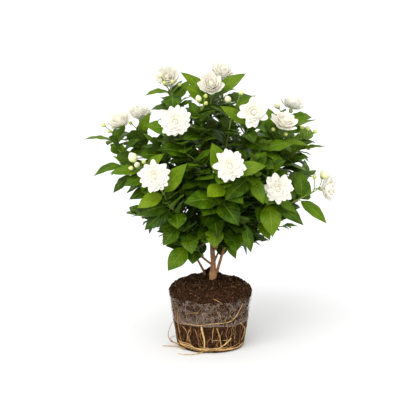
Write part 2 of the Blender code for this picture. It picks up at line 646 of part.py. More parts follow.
def wood(starts, finish):
    """The woody stems, with a twig to the start of each leafy stem from the woody stem that is best placed.

    The trunk and its side stems are one grown body. The low left stem comes out of the soil by itself, as a
    second rooted cutting, and is a body of its own with its own twigs.
    """
    pieces = {"wood": [], "wood_left": []}
    carriers = []
    rows = [("wood", TRUNK), ("wood_left", LOW_LEFT_STEM)] + [("wood", row) for row in SIDE_STEMS]
    for body, (radius, end, sides, path) in rows:
        points = rooted(path) if path in (TRUNK[3], LOW_LEFT_STEM[3]) else np.array(list(map(place, path)))
        pieces[body].append(tube("branch", points, np.linspace(radius, end, len(points)), PLANT, sides))
        steps = [a + (b - a) * share for a, b in zip(points, points[1:]) for share in TWIG_FEET]
        carriers += [(body, a, unit(b - a)) for a, b in zip(steps[BARE_STEPS:], steps[BARE_STEPS + 1:])]
    for start, heading in starts:
        def cost(carrier):
            downward = max(0.0, carrier[1][2] - start[2] + TWIG_RISE)
            return np.linalg.norm(start - carrier[1]) + 1.5 * downward

        body, foot, rise = min(carriers, key=cost)
        span = np.linalg.norm(start - foot)
        knee = (foot + start) / 2 + TWIG_BOW * span * (rise - heading)
        bend = [knee] if span > TWIG_STRAIGHT else []
        path = [foot] + bend + [start - TWIG_END * heading, start - CLEARANCE * heading]
        pieces[body].append(tube("branch", path, [TWIG_R] * len(path), PLANT))
    return [fused(body, parts, finish) for body, parts in pieces.items()]


# Bloom forms, in layers from outside in: petals, reach, heights of the foot, shoulder and tip, and half width
# at the shoulder, which is 0 for a plain pointed petal
BLOOM_FORMS = {
    "open": ((8, 24.5, (-1.6, 0.2, 2.6), 6.4), (5, 17.5, (1.6, 6.2, 8.6), 0.0),
             (3, 10.0, (4.6, 11.0, 13.0), 0.0)),
    "star": ((8, 25.0, (-1.6, -0.6, 0.6), 5.4), (5, 16.5, (1.6, 5.4, 7.6), 0.0),
             (3, 9.5, (4.6, 10.0, 12.0), 0.0)),
    "cup": ((7, 19.5, (-1.6, 5.0, 11.5), 5.6), (5, 14.5, (1.6, 9.5, 15.0), 0.0),
            (3, 9.0, (4.6, 12.5, 16.5), 0.0)),
}
SHOULDER_AT = 0.66
NOTCH_R = 5.2
TUBE_R = 1.7
TUBE_SPREAD = 1.4


def petal_layer(count, reach, heights, shoulder, turned_by):
    """One layer of petals, cut as lobes into a thin cupped plate: between two, the cut goes in to NOTCH_R."""
    foot, middle, tip = heights
    rim, ups = [], []
    step = 2 * math.pi / count
    for k in range(count):
        angle = step * (k + turned_by)
        out = np.array((math.cos(angle), math.sin(angle), 0.0))
        side = np.array((-math.sin(angle), math.cos(angle), 0.0))
        cut = angle - step / 2
        slope = unit(reach * UP - (tip - foot) * out)
        rim.append(np.array((NOTCH_R * math.cos(cut), NOTCH_R * math.sin(cut), foot)))
        ups.append(UP)
        corners = [reach * out + tip * UP]
        if shoulder:
            bend = SHOULDER_AT * reach * out + middle * UP
            corners = [bend - shoulder * side, corners[0], bend + shoulder * side]
        rim += corners
        ups += [slope] * len(corners)
    each = len(rim) // count
    faces = [tuple(range(0, len(rim), each))]
    for k in range(count):
        a, b = each * k, each * (k + 1) % len(rim)
        if shoulder:
            faces += [(a, a + 1, a + 3), (a, a + 3, b), (a + 1, a + 2, a + 3)]
        else:
            faces.append((a, a + 1, b))
    return plate(np.array(rim), np.array(ups), PETAL_WALL / 2, faces, tuple(range(len(rim))))


def bloom_mesh(form, finish):
    """One bloom facing +Z, its middle at the origin: layers of petals on a tube that ends as its heart."""
    heart = BLOOM_FORMS[form][2][2][1]
    line = [(0, 0, -BLOOM_BACK + CLEARANCE), (0, 0, heart)]
    pieces = [tube("tube", line, [TUBE_R, TUBE_R + TUBE_SPREAD], PLANT)]
    for layer, (count, reach, heights, shoulder) in enumerate(BLOOM_FORMS[form]):
        points, faces = petal_layer(count, reach, heights, shoulder, 0.5 * layer)
        pieces.append(mesh_object("petals", points, faces, PLANT))
    return fused("bloom_" + form, pieces, finish)


def facing_matrix(centre, facing):
    """Carries +Z to the facing, and the origin to the centre."""
    turn = Vector((0, 0, 1)).rotation_difference(Vector(unit(facing)))
    return Matrix.Translation(Vector(centre) * MM) @ turn.to_matrix().to_4x4()


def back_stems():
    """The stems of the unseen back, by rule: each goes out and up from inside the crown to its place."""
    made = {}
    for k, (turn, height, reach, form) in enumerate(BACK_STEMS):
        angle = math.radians(turn)
        out = np.array((math.cos(angle), math.sin(angle), 0.0))
        tip = reach * out + height * UP
        rise = BACK_FOOT[2] + BACK_START * (height - BACK_FOOT[2])
        foot = BACK_START * reach * out + np.array((BACK_FOOT[0], BACK_FOOT[1], rise))
        path = [foot, (foot + tip) / 2 + BACK_BOW * UP, tip]
        made[f"stem_back_{k + 1}"] = {"points": np.array(path), "leaves": ()}
        if form:
            facing = unit(out + 0.5 * UP)
            made[f"stem_back_{k + 1}"]["spot"] = (tip + BLOOM_STAND * facing, facing, form)
    return made


def inside_crown(point):
    """Whether a leaf tip lies in the crown: in its outline as seen, and within its depth at that height."""
    across, up = seen_at(point)
    heights = [row[0] for row in CROWN_OUTLINE]
    if not heights[0] < up < heights[-1]:
        return False
    left = np.interp(up, heights, [row[1] for row in CROWN_OUTLINE])
    right = np.interp(up, heights, [row[2] for row in CROWN_OUTLINE])
    middle, half = (right - left) / 2, (right + left) / 2
    return ((across - middle) / half) ** 2 + (point[1] / (half * CROWN_DEPTH_SHARE)) ** 2 < 1.0


# Ways to swing a leaf that would cross something: steps to the side, steps up
SWINGS = ((0, 1), (0, -1), (1, 0), (-1, 0), (1, 1), (-1, 1), (0, 2), (2, 0), (-2, 0), (1, -1), (-1, -1))


def tries(root, tip, spread):
    """The leaf's own tip, then tips swung a little about the root, shorter ones last."""
    reach = tip - root
    yield tip
    side = unit(np.cross(reach, UP))
    over = np.cross(side, unit(reach))
    length = np.linalg.norm(reach)
    for shrink in (1.0, 0.9, 0.8):
        for a, b in SWINGS:
            moved = reach + spread * length * (a * side + b * over)
            yield root + shrink * length * unit(moved)


def fit_leaf(shapes, stem, root, tip, width, normal, arch, folded, spread, limit=None):
    """Places one leaf where it crosses nothing: the first of its tries that is clear, or none."""
    for end in tries(root, tip, spread):
        if limit and not limit(end):
            continue
        guard = blade(root, end, width, normal, arch, folded, BLADE_GUARD, GUARD_START)
        if shapes.hit(*guard, skip=(stem,)):
            continue
        beyond = blade(root, end, width, normal, arch, folded, OWN_GUARD, OWN_START)
        if shapes.hit(*beyond):
            continue
        solid = blade(root, end, width, normal, arch, folded)
        shapes.add(*solid, tag=stem)
        return solid
    return None


def rule_leaves(index, points):
    """Opposite pairs of leaves along a stem, each pair turned a quarter from the last, with drooping tips."""
    lengths = np.concatenate([[0], np.cumsum(np.linalg.norm(np.diff(points, axis=0), axis=1))])
    for pair, reach in enumerate(np.arange(FIRST_PAIR, lengths[-1] - LAST_PAIR, LEAF_SPACING)):
        root, ahead = along(points, np.interp(reach, lengths, np.arange(len(points))))
        level = unit(np.cross(ahead, UP))
        upright = np.cross(level, ahead)
        outward = unit((root[0], root[1], 30.0))
        for hand in (0, 1):
            draw = np.random.default_rng([index, pair, hand])
            turn = math.radians(45 + 90 * pair + 180 * hand) + draw.uniform(-0.4, 0.4)
            spread = math.radians(draw.uniform(48, 72))
            round_stem = math.cos(turn) * level + math.sin(turn) * upright
            heading = math.cos(spread) * ahead + math.sin(spread) * round_stem
            heading = unit(heading + 0.35 * outward + draw.uniform(-0.45, 0.0) * UP)
            length = LEAF_LENGTH * draw.uniform(0.82, 1.1)
            normal = unit(UP + 0.5 * ahead + 0.35 * outward)
            yield root, root + length * heading, length * draw.uniform(*LEAF_SHARE), normal


def clear_scene():
    for obj in list(bpy.data.objects):
        bpy.data.objects.remove(obj)


clear_scene()
PLANT = bpy.data.collections.new("potted_arabian_jasmine")
bpy.context.scene.collection.children.link(PLANT)
bpy.context.view_layer.active_layer_collection = bpy.context.view_layer.layer_collection.children[PLANT.name]


def main():
    green = material("leaf green", LEAF_GREEN, 0.35)
    white = material("petal white", PETAL_WHITE, 0.6)
    shapes = Shapes()
    shapes.add_object(root_ball(material("potting soil", SOIL_BROWN, 0.95)), "ball")
    shapes.add_object(film_sleeve(material("clear film", FILM_GREY, 0.3)), "film")
    root_net(material("root tan", ROOT_TAN, 0.6))

    stems = {}
    for name, row in LEAFY_STEMS.items():
        stem = dict(row, points=np.array([place(spot) for spot in row["path"]]))
        if "bloom" in row:
            centre, facing, form = row["bloom"]
            stem["spot"] = (place(centre), unit(facing), form)
        stems[name] = stem
    stems.update(back_stems())

    starts = [(stem["points"][0], unit(stem["points"][1] - stem["points"][0])) for stem in stems.values()]
    for body in wood(starts, material("bark brown", BARK_BROWN, 0.85)):
        shapes.add_object(body, "wood")

    forms = {form: bloom_mesh(form, white) for form in BLOOM_FORMS}
    pieces = {}
    for name, stem in stems.items():
        path = list(stem["points"])
        tip = path[-1]
        if "spot" in stem:
            centre, facing, form = stem["spot"]
            path += [centre - (BLOOM_BACK + NECK) * facing, centre - BLOOM_BACK * facing]
            bloom = bpy.data.objects.new("bloom_" + name[5:], forms[form].data)
            bloom.matrix_world = facing_matrix(centre, facing)
            PLANT.objects.link(bloom)
            bpy.context.view_layer.update()
            shapes.add_object(bloom, "bloom")
        pieces[name] = [tube("stem", path, np.linspace(STEM_R, STEM_TIP_R, len(path)), PLANT)]
        for spot, radius in stem.get("buds", ()):
            bud = place(spot)
            away = unit(bud - tip)
            line = [tip, bud - 1.3 * radius * away, bud - 0.2 * radius * away, bud + 1.1 * radius * away]
            pieces[name].append(tube("bud", line, [STALK_R, STALK_R, radius, 0.4 * radius], PLANT))
        for piece in pieces[name]:
            shapes.add_object(piece, name)
    for form in forms.values():
        bpy.data.objects.remove(form)

    for name, stem in stems.items():
        for at, tip, width, front, arch in stem["leaves"]:
            root = along(stem["points"], at)[0]
            normal = unit((0.0, -front, 1.0))
            folded = width > NARROW_LEAF
            solid = fit_leaf(shapes, name, root, place(tip), width, normal, arch, folded, HERO_SWING)
            if solid:
                pieces[name].append(mesh_object("leaf", *solid, PLANT))
    for index, (name, stem) in enumerate(stems.items()):
        for root, tip, width, normal in rule_leaves(index, stem["points"]):
            solid = fit_leaf(shapes, name, root, tip, width, normal, RULE_ARCH, False, RULE_SWING,
                             inside_crown)
            if solid:
                pieces[name].append(mesh_object("leaf", *solid, PLANT))
    for name in stems:
        fused(name, pieces[name], green)


main()
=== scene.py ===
"""The looks of a flowering arabian jasmine on its bare root ball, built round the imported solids.

Sizes are in millimetres and turned to metres where a mesh is made. The frame is the solids' own: +Z up, -Y
the front, the origin under the middle of the root ball. Places on the plant are written as (across, up,
deep): across and up in the picture plane of someone who looks down on it by VIEW_TILT from VIEW_DISTANCE,
deep behind its middle plane.
"""

import math

import bpy
import numpy as np
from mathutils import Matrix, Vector
from mathutils.bvhtree import BVHTree


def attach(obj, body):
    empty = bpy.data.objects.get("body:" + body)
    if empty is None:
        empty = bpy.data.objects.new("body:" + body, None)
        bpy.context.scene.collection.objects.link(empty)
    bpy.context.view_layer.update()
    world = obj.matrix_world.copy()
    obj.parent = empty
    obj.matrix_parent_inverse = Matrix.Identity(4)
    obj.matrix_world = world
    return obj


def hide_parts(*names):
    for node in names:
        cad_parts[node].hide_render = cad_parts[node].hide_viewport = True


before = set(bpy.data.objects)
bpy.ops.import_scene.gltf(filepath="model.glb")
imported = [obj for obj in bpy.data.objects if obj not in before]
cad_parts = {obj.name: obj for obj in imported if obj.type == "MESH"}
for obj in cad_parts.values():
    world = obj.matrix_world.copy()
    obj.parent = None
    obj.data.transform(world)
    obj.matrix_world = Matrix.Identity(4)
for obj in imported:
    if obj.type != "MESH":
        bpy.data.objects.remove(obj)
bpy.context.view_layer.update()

MM = 0.001

VIEW_TILT = math.radians(12.5)
VIEW_DISTANCE = 2600.0
VIEW_CENTRE = np.array((-3.75, 0.0, 211.9))
BASE_BELOW_CENTRE = 203.25
RIGHT = np.array((1.0, 0.0, 0.0))
UP = np.array((0.0, 0.0, 1.0))
SIGHT = np.array((0.0, math.cos(VIEW_TILT), -math.sin(VIEW_TILT)))
LIFT = np.array((0.0, math.sin(VIEW_TILT), math.cos(VIEW_TILT)))
EYE = VIEW_CENTRE - VIEW_DISTANCE * SIGHT

# Root ball and film, as in the solids
BALL_BASE_R = 49.5
BALL_TOP_R = 62.5
BALL_HEIGHT = 86.0
MOUND_HEIGHT = 14.0
MOUND_POWER = 6
CLUMP_AT = (2.0, 25.0)
CLUMP_HEIGHT = 11.0
CLUMP_SPREAD = 9.0
FILM_LOW = 42.0
FILM_HIGH = 80.0

# Woody stems: the trunk's path; of the others the radius at the foot, the radius at the end, and the path
HOLE_FLOOR = 80.3
TRUNK = ((3, 92, 5), (4, 118, 5), (3, 140, 6), (2, 168, 8), (0, 200, 8), (-2, 235, 6), (-2, 268, 4))
LOW_LEFT_STEM = (1.9, 1.5, ((-9, 104, 17), (-13, 114, 13), (-20, 127, 4), (-31, 150, -7), (-44, 176, -18),
                            (-57, 204, -24)))
SIDE_STEMS = (
    (1.7, 1.5, ((4, 117, 5), (-13, 131, 12), (-26, 152, 22), (-38, 185, 30), (-52, 225, 32))),
    (2.4, 1.6, ((4, 103, 5), (10, 110, 3), (20, 141, -2), (33, 170, -8), (48, 198, -10), (62, 226, -6))),
    (1.5, 1.5, ((4, 119, 6), (13, 140, 14), (25, 170, 28), (38, 208, 40), (48, 246, 46))),
    (1.6, 1.4, ((3, 138, 6), (10, 146, -3), (12, 164, -16), (8, 190, -26))),
    (1.8, 1.5, ((1, 180, 8), (-4, 205, 30), (-8, 240, 52), (-10, 275, 60))),
    (1.7, 1.5, ((-1, 225, 6), (-20, 250, 6), (-42, 270, 8), (-60, 290, 10))),
    (1.7, 1.5, ((-1, 225, 6), (22, 252, 8), (42, 276, 10), (54, 296, 12))),
    (1.8, 1.4, ((-2, 262, 4), (-4, 290, 0), (0, 315, 2), (4, 335, 6))),
)
TWIG_R = 1.35
TWIG_BOW = 0.13
TWIG_END = 5.0
TWIG_STRAIGHT = 60.0
TWIG_FEET = (0.0, 0.35, 0.7)
TWIG_RISE = 8.0
BARE_STEPS = 4
STEM_R = 1.15
STEM_TIP_R = 0.85

# Leaves, as in the solids
LEAF_SPACING = 40.0
LEAF_LENGTH = 47.0
FIRST_PAIR = 5.0
LAST_PAIR = 2.0
LEAF_SHARE = (0.54, 0.64)
HERO_SWING = 0.12
RULE_SWING = 0.2
RULE_ARCH = 0.10
SWINGS = ((0, 1), (0, -1), (1, 0), (-1, 0), (1, 1), (-1, 1), (0, 2), (2, 0), (-2, 0), (1, -1), (-1, -1))
BLOOM_BACK = 11.0
NECK = 4.0

# Leafy stems. A leaf is (place counted in the path's points, tip, width, how far its face turns to the front,
# arch, tone from 0 for the darkest green to 1 for the brightest); the tone is painted light and shade, high for
# leaves in the light and low for shaded ones. A bloom is (centre, facing, form), a bud (centre, radius).
LEAFY_STEMS = {
    "stem_left_low": {
        "path": ((-40, 179, -45), (-51, 197, -70), (-61, 206, -82), (-70, 224, -94), (-82, 240, -101)),
        "leaves": ((3.0, (-110, 203, -118), 21, 1.6, 0.10, 1.0), (3.0, (-35, 270, -112), 25, 1.2, 0.10, 0.8),
                   (2.0, (-107, 193, -92), 24, 1.0, 0.10, 0.25), (1.7, (-99, 170, -98), 24, 1.2, 0.12, 0.2),
                   (1.0, (-49, 172, -99), 28, 1.0, 0.10, 0.4)),
        "bloom": ((-84.5, 251, -121), (0.05, -1.0, 0.12), "open"),
    },
    "stem_centre": {
        "path": ((1, 190, -30), (7, 206, -62), (13, 215, -80), (22, 239, -104), (27, 256, -116)),
        "leaves": ((2.0, (-40, 211, -112), 30, 1.4, 0.10, 0.38), (2.0, (42, 177, -110), 32, 1.2, 0.12, 0.28),
                   (0.5, (10, 157, -92), 26, 1.2, 0.10, 0.2), (3.3, (2, 301, -112), 28, 1.4, 0.08, 0.8),
                   (3.9, (84, 266, -124), 22, 1.5, 0.10, 0.8), (2.9, (-5, 220, -141), 25, 1.4, 0.06, 1.0)),
        "bloom": ((29, 267, -138), (0.02, -1.0, 0.1), "open"),
    },
    "stem_centre_right": {
        "path": ((35, 194, -20), (49, 221, -60), (61, 250, -90), (66, 270, -98)),
        "leaves": ((2.0, (22, 215, -121), 28, 1.2, 0.08, 0.3), (2.0, (82, 212, -118), 20, 1.2, 0.10, 0.65)),
    },
    "stem_right_low": {
        "path": ((71, 182, -25), (80, 200, -50), (89, 214, -66), (97, 226, -76)),
        "leaves": ((1.8, (93, 160, -94), 30, 1.3, 0.16, 0.75), (2.0, (136, 173, -72), 22, 1.0, 0.10, 0.25),
                   (2.6, (130, 195, -80), 13, 1.0, 0.08, 0.5), (0.2, (89, 155, -60), 18, 1.0, 0.10, 0.6)),
        "bloom": ((102, 233, -97), (-0.2, -1.0, 0.0), "open"),
    },
    "stem_right_far": {
        "path": ((92, 199, -5), (109, 206, -12), (126, 213.5, -18), (144, 222.5, -22), (152, 226, -23)),
        "leaves": ((2.3, (174, 180, -42), 19, 0.8, 0.10, 0.6), (2.6, (134, 259, -34), 22, 1.0, 0.08, 0.45),
                   (2.0, (114, 248, -30), 16, 0.8, 0.08, 0.3)),
        "bloom": ((171, 232.5, -24), (0.93, -0.3, 0.12), "flare"),
        "buds": (((171, 254, -26), 6.0), ((156, 250, -24), 2.6)),
    },
    "stem_right_mid": {
        "path": ((76, 232, -4), (96, 256, -8), (115, 276, -10), (131, 289, -12)),
        "leaves": ((3.0, (172, 295, -12), 13, 0.2, 0.10, 0.65), (2.0, (147, 279, -34), 17, 0.8, 0.08, 0.2),
                   (1.3, (151, 250, -14), 15, 0.4, 0.14, 0.3), (2.0, (144, 268, 24), 20, 0.6, 0.10, 0.25)),
    },
    "stem_right_top": {
        "path": ((65, 260, -10), (80, 285, -16), (92, 301, -20), (101, 311, -21)),
        "leaves": ((3.0, (78, 358, -6), 20, 0.8, 0.08, 0.6), (3.0, (159, 336, -14), 14, 0.2, 0.08, 0.6),
                   (2.0, (147, 297, -34), 15, 0.4, 0.10, 0.8)),
        "bloom": ((109, 329, -28), (0.3, -0.45, 0.8), "flare"),
        "buds": (((94, 321, -34), 2.6), ((113, 314, -36), 2.4)),
    },
    "stem_right_buds": {
        "path": ((89, 263, 15), (110, 283, 12), (128, 296, 6), (141, 306, 2)),
        "leaves": ((2.0, (150, 292, 28), 20, 0.6, 0.10, 0.35),),
        "buds": (((137.5, 324, 2), 2.6), ((146, 323, -2), 3.2), ((157, 318, 0), 2.8)),
    },
    "stem_right_back": {
        "path": ((59, 268, 40), (80, 300, 49), (100, 322, 48), (113, 333, 44)),
        "leaves": ((3.0, (152, 339, 22), 24, 0.9, 0.10, 0.6), (2.0, (140, 318, 30), 22, 0.8, 0.10, 0.35)),
        "bloom": ((122, 354, 42), (0.25, 0.2, 0.9), "cup"),
        "buds": (((100, 357, 36), 4.2),),
    },
    "stem_top_right": {
        "path": ((41, 275, -20), (49, 301, -36), (56, 323, -44), (62, 338, -46)),
        "leaves": ((2.2, (14, 356, -62), 19, 1.2, 0.08, 0.8), (1.0, (88, 290, -78), 22, 1.2, 0.10, 0.35),
                   (1.6, (66, 300, -96), 22, 1.2, 0.10, 0.25)),
        "bloom": ((64.5, 347, -66), (0.05, -1.0, 0.12), "star"),
    },
    "stem_top_centre": {
        "path": ((-4, 290, -20), (-4, 323, -20), (-1, 353, -16), (1.5, 369, -14)),
        "leaves": ((2.9, (-45, 407, -14), 19, 1.0, 0.08, 0.8), (2.3, (-40, 387, -32), 24, 1.2, 0.12, 0.75),
                   (3.0, (53, 405, -10), 21, 1.2, 0.08, 0.75), (2.7, (43, 377, -34), 13, 0.4, 0.10, 0.5)),
        "bloom": ((0.8, 386, -30), (0.0, -0.8, 0.6), "cup"),
    },
    "stem_top_back": {
        "path": ((11, 290, 25), (17, 332, 32), (19, 362, 34), (17, 382, 33)),
        "leaves": ((2.0, (60, 372, 50), 22, 0.6, 0.10, 0.35), (2.0, (-20, 372, 62), 22, 0.4, 0.10, 0.3)),
        "bloom": ((17, 403, 28), (0.15, -0.35, 0.85), "cup"),
        "buds": (((27, 396, 16), 2.4),),
    },
    "stem_buds_left": {
        "path": ((-16, 290, -45), (-14, 323, -50), (-13.5, 349, -46)),
        "leaves": ((1.4, (-34, 364, -48), 16, 0.8, 0.08, 0.35), (0.6, (-42, 306, -92), 22, 1.2, 0.10, 0.3)),
        "buds": (((-18, 367, -46), 4.2), ((-7.5, 371, -44), 2.6), ((-7, 360, -50), 2.6)),
    },
    "stem_buds_right": {
        "path": ((22, 287, -38), (28, 320, -42), (33, 349, -38)),
        "leaves": ((2.0, (68, 372, -18), 13, 0.6, 0.10, 0.6),),
        "buds": (((26, 366, -40), 4.6), ((46, 376, -34), 3.2), ),
    },
    "stem_top_left": {
        "path": ((-31, 287, 5), (-41, 323, 6), (-52, 353, 4), (-58, 376, 2)),
        "leaves": ((2.9, (-98, 372, -12), 15, 0.3, 0.14, 0.8), (2.9, (-56, 348, -40), 26, 1.4, 0.12, 0.3),
                   (2.4, (-31, 395, 10), 17, 0.8, 0.08, 0.45), (2.0, (-89, 351, -4), 18, 0.4, 0.10, 0.35),
                   (2.0, (-26, 364, -16), 15, 0.6, 0.08, 0.35)),
        "bloom": ((-64, 396.5, 14), (-0.1, -0.8, 0.55), "cup"),
        "buds": (((-76, 403, -25), 4.0), ((-69, 391, -24), 2.6), ((-57, 393, -24), 2.8),
                 ((-46, 388, -8), 2.4)),
    },
    "stem_upper_left": {
        "path": ((-25, 257, -45), (-34, 283, -62), (-43, 307, -70), (-49, 323, -71)),
        "leaves": ((2.4, (-100, 328, -82), 23, 1.3, 0.10, 0.55), (2.0, (1, 316, -104), 16, 0.7, 0.16, 0.7),
                   (1.0, (-78, 290, -100), 22, 1.2, 0.10, 0.25)),
        "bloom": ((-52.5, 333, -90), (0.0, -1.0, 0.1), "open"),
    },
    "stem_left_top": {
        "path": ((-88, 236, -30), (-110, 259, -38), (-128, 276, -40), (-136, 289, -36), (-143, 302, -27),
                 (-137, 309, -19)),
        "leaves": ((4.0, (-190.5, 306, -35), 14, 0.2, 0.12, 0.75),
                   (3.0, (-153, 310, -66), 23, 1.0, 0.10, 0.35),
                   (2.4, (-106, 306, -74), 18, 0.9, 0.10, 0.3)),
        "bloom": ((-134.8, 329, -20), (-0.3, -0.45, 0.8), "cup"),
        "buds": (((-161, 328, -36), 3.0), ((-152, 318, -40), 2.2)),
    },
    "stem_left_back": {
        "path": ((-76, 260, 15), (-93, 284, 18), (-105, 304, 21), (-107, 319, 27)),
        "leaves": ((2.2, (-90, 347, 4), 17, 1.1, 0.12, 0.8), (2.0, (-145, 316, 6), 14, 0.4, 0.08, 0.4),
                   (1.2, (-139, 299, 2), 15, 0.4, 0.14, 0.35), (1.6, (-124, 278, 4), 14, 0.8, 0.08, 0.3)),
        "bloom": ((-105, 340.5, 30), (0.0, -0.2, 0.95), "cup"),
        "buds": (((-120, 331, 8), 2.4),),
    },
    "stem_left_buds": {
        "path": ((-67, 215, -45), (-82, 233, -62), (-95, 250, -74), (-106, 262, -80)),
        "leaves": ((2.4, (-68, 285, -92), 17, 1.0, 0.10, 0.8), (2.6, (-151, 255, -84), 19, 0.8, 0.10, 0.7),
                   (2.0, (-130, 236, -94), 20, 1.0, 0.10, 0.45),
                   (1.0, (-122, 216, -76), 19, 1.0, 0.10, 0.25)),
        "buds": (((-116.5, 279, -86), 6.4), ((-110, 268, -90), 4.0), ((-119, 263, -86), 3.0),
                 ((-100, 272, -84), 3.0)),
    },
    "stem_left_arch": {
        "path": ((-80, 216, -26), (-98, 236, -44), (-116, 254, -60), (-129, 266, -68)),
        "leaves": ((3.0, (-175, 251, -72), 16, 0.6, 0.16, 0.45), (2.0, (-146, 226, -56), 16, 0.8, 0.10, 0.2)),
    },
    "stem_low_leaf": {
        "path": ((-14, 134, -12), (-24, 141, -24), (-34, 146, -36)),
        "leaves": ((2.0, (-64, 109, -60), 27, 1.6, 0.08, 0.62), (1.0, (-27, 119, -50), 22, 1.0, 0.10, 0.25)),
    },
    "stem_low_left": {
        "path": ((-13, 150, -12), (-24, 158, -30), (-34, 167, -46), (-46, 177, -56)),
        "leaves": ((2.0, (-28, 134, -72), 25, 1.2, 0.12, 0.5), (3.0, (-71, 147, -66), 24, 1.0, 0.10, 0.4),
                   (3.0, (-78, 172, -60), 22, 1.0, 0.12, 0.35), (1.0, (-58, 150, -38), 20, 1.0, 0.10, 0.25)),
    },
    "stem_low_centre": {
        "path": ((2, 153, -14), (4, 166, -40), (6, 176, -58)),
        "leaves": ((2.0, (6, 143, -84), 26, 1.4, 0.10, 0.7), (1.0, (-14, 152, -78), 22, 1.2, 0.10, 0.35)),
    },
    "stem_low_right": {
        "path": ((19, 155, -6), (30, 166, -26), (39, 175, -40), (50, 182, -48)),
        "leaves": ((1.4, (38, 137, -66), 30, 1.3, 0.10, 0.45), (0.3, (38, 127, -22), 15, 0.8, 0.10, 0.5),
                   (3.0, (57, 136, -56), 16, 0.8, 0.10, 0.4), (2.0, (54, 132, -20), 10, 0.6, 0.08, 0.3)),
    },
    "stem_inner_left": {
        "path": ((-8, 193, -20), (-14, 220, -48), (-18, 246, -74), (-20, 268, -88)),
        "leaves": (),
    },
    "stem_inner_right": {
        "path": ((40, 232, -14), (52, 252, -36), (62, 276, -52), (75, 292, -60)),
        "leaves": ((2.0, (96, 262, -84), 24, 1.2, 0.10, 0.35),),
    },
    "stem_left_mid": {
        "path": ((-48, 236, -14), (-60, 258, -32), (-72, 280, -40), (-82, 296, -44)),
        "leaves": ((2.0, (-108, 282, -64), 22, 1.0, 0.10, 0.4),),
    },
    "stem_right_fill": {
        "path": ((58, 206, -24), (69, 222, -42), (78, 240, -60), (86, 256, -70)),
        "leaves": ((3.0, (108, 274, -88), 20, 1.0, 0.10, 0.3),),
    },
}

# Stems of the unseen back: where the tip is (turn about the trunk in degrees, height, reach), and its bloom
BACK_STEMS = ((-15, 190, 110, None), (16, 250, 150, None), (44, 185, 125, None), (64, 285, 158, None),
              (96, 230, 150, "open"), (112, 325, 140, "cup"), (142, 250, 158, None), (168, 195, 112, None),
              (78, 350, 95, None))
BACK_START = 0.36
BACK_FOOT = (0.0, 8.0, 150.0)
BACK_BOW = 10.0
BLOOM_STAND = 16.0

# Leaves by rule stay inside this outline: height, reach to the left, reach to the right
CROWN_OUTLINE = ((118, 30, 38), (135, 62, 58), (150, 80, 86), (175, 100, 108), (200, 122, 134),
                 (225, 134, 146), (250, 150, 152), (280, 150, 152), (300, 156, 158), (325, 142, 156),
                 (345, 112, 150), (362, 92, 112), (378, 70, 62), (395, 52, 50), (402, 30, 34))
CROWN_DEPTH_SHARE = 1.06
# Where an added leaf counts as far out, and as sunlit, for its painted shade deep in the crown and painted
# light above
CROWN_REACH = 165.0
CROWN_SHOULDER = 300.0
SUNLIT_ABOVE = 230.0


def unit(vector):
    """A vector, or each row of vectors, brought to length one."""
    vector = np.asarray(vector, float)
    return vector / np.linalg.norm(vector, axis=-1, keepdims=True)


def place(spot):
    """A point (across, up, deep) of the picture plane, carried along the line of sight to its depth."""
    across, up, deep = spot
    seen = VIEW_CENTRE + (across - VIEW_CENTRE[0]) * RIGHT + (up - BASE_BELOW_CENTRE) * LIFT
    return EYE + (deep - EYE[1]) / (seen[1] - EYE[1]) * (seen - EYE)


def placed(path):
    """All the points (across, up, deep) of a path, carried to their places."""
    return np.array([place(spot) for spot in path])


def seen_at(point):
    """The (across, up) at which a point is seen: the reverse of place."""
    ray = point - EYE
    hit = EYE + ray * (VIEW_DISTANCE / (ray @ SIGHT)) - VIEW_CENTRE
    return hit[0] + VIEW_CENTRE[0], hit @ LIFT + BASE_BELOW_CENTRE


def along(path, at):
    """The point and the direction at a place counted in the path's points."""
    low = min(int(at), len(path) - 2)
    share = at - low
    return path[low] * (1 - share) + path[low + 1] * share, unit(path[low + 1] - path[low])


def spans(path):
    """The distance from each point of a path to the next."""
    return np.linalg.norm(np.diff(path, axis=0), axis=1)


def run_to(path):
    """How far along a path each of its points lies."""
    return np.concatenate([[0], np.cumsum(spans(path))])


def smooth_path(points, each):
    """Points on a Catmull-Rom curve through the given points, each of its spans cut into equal shares."""
    points = np.asarray(points, float)
    ends = np.vstack([2 * points[0] - points[1], points, 2 * points[-1] - points[-2]])
    t = (np.arange(each) / each)[None, :, None]
    a, b, c, d = ends[:-3, None], ends[1:-2, None], ends[2:-1, None], ends[3:, None]
    curve = 0.5 * (2 * b + (c - a) * t + (2 * a - 5 * b + 4 * c - d) * t**2 + (3 * b - 3 * c + d - a) * t**3)
    return np.vstack([curve.reshape(-1, 3), points[-1]])


def bend(start, knee, end, t):
    """The points and directions, at shares t, of a quadratic curve from start to end that leans to knee."""
    point = (1 - t) ** 2 * start + 2 * t * (1 - t) * knee + t * t * end
    return point, unit((1 - t) * (knee - start) + t * (end - knee))


def around(count):
    """The turns, in radians, of points spread evenly round a circle."""
    return np.arange(count) * 2 * math.pi / count


def turned_to(facing):
    """The matrix that turns the upright direction to a facing."""
    return np.array(Vector(UP).rotation_difference(Vector(facing)).to_matrix())


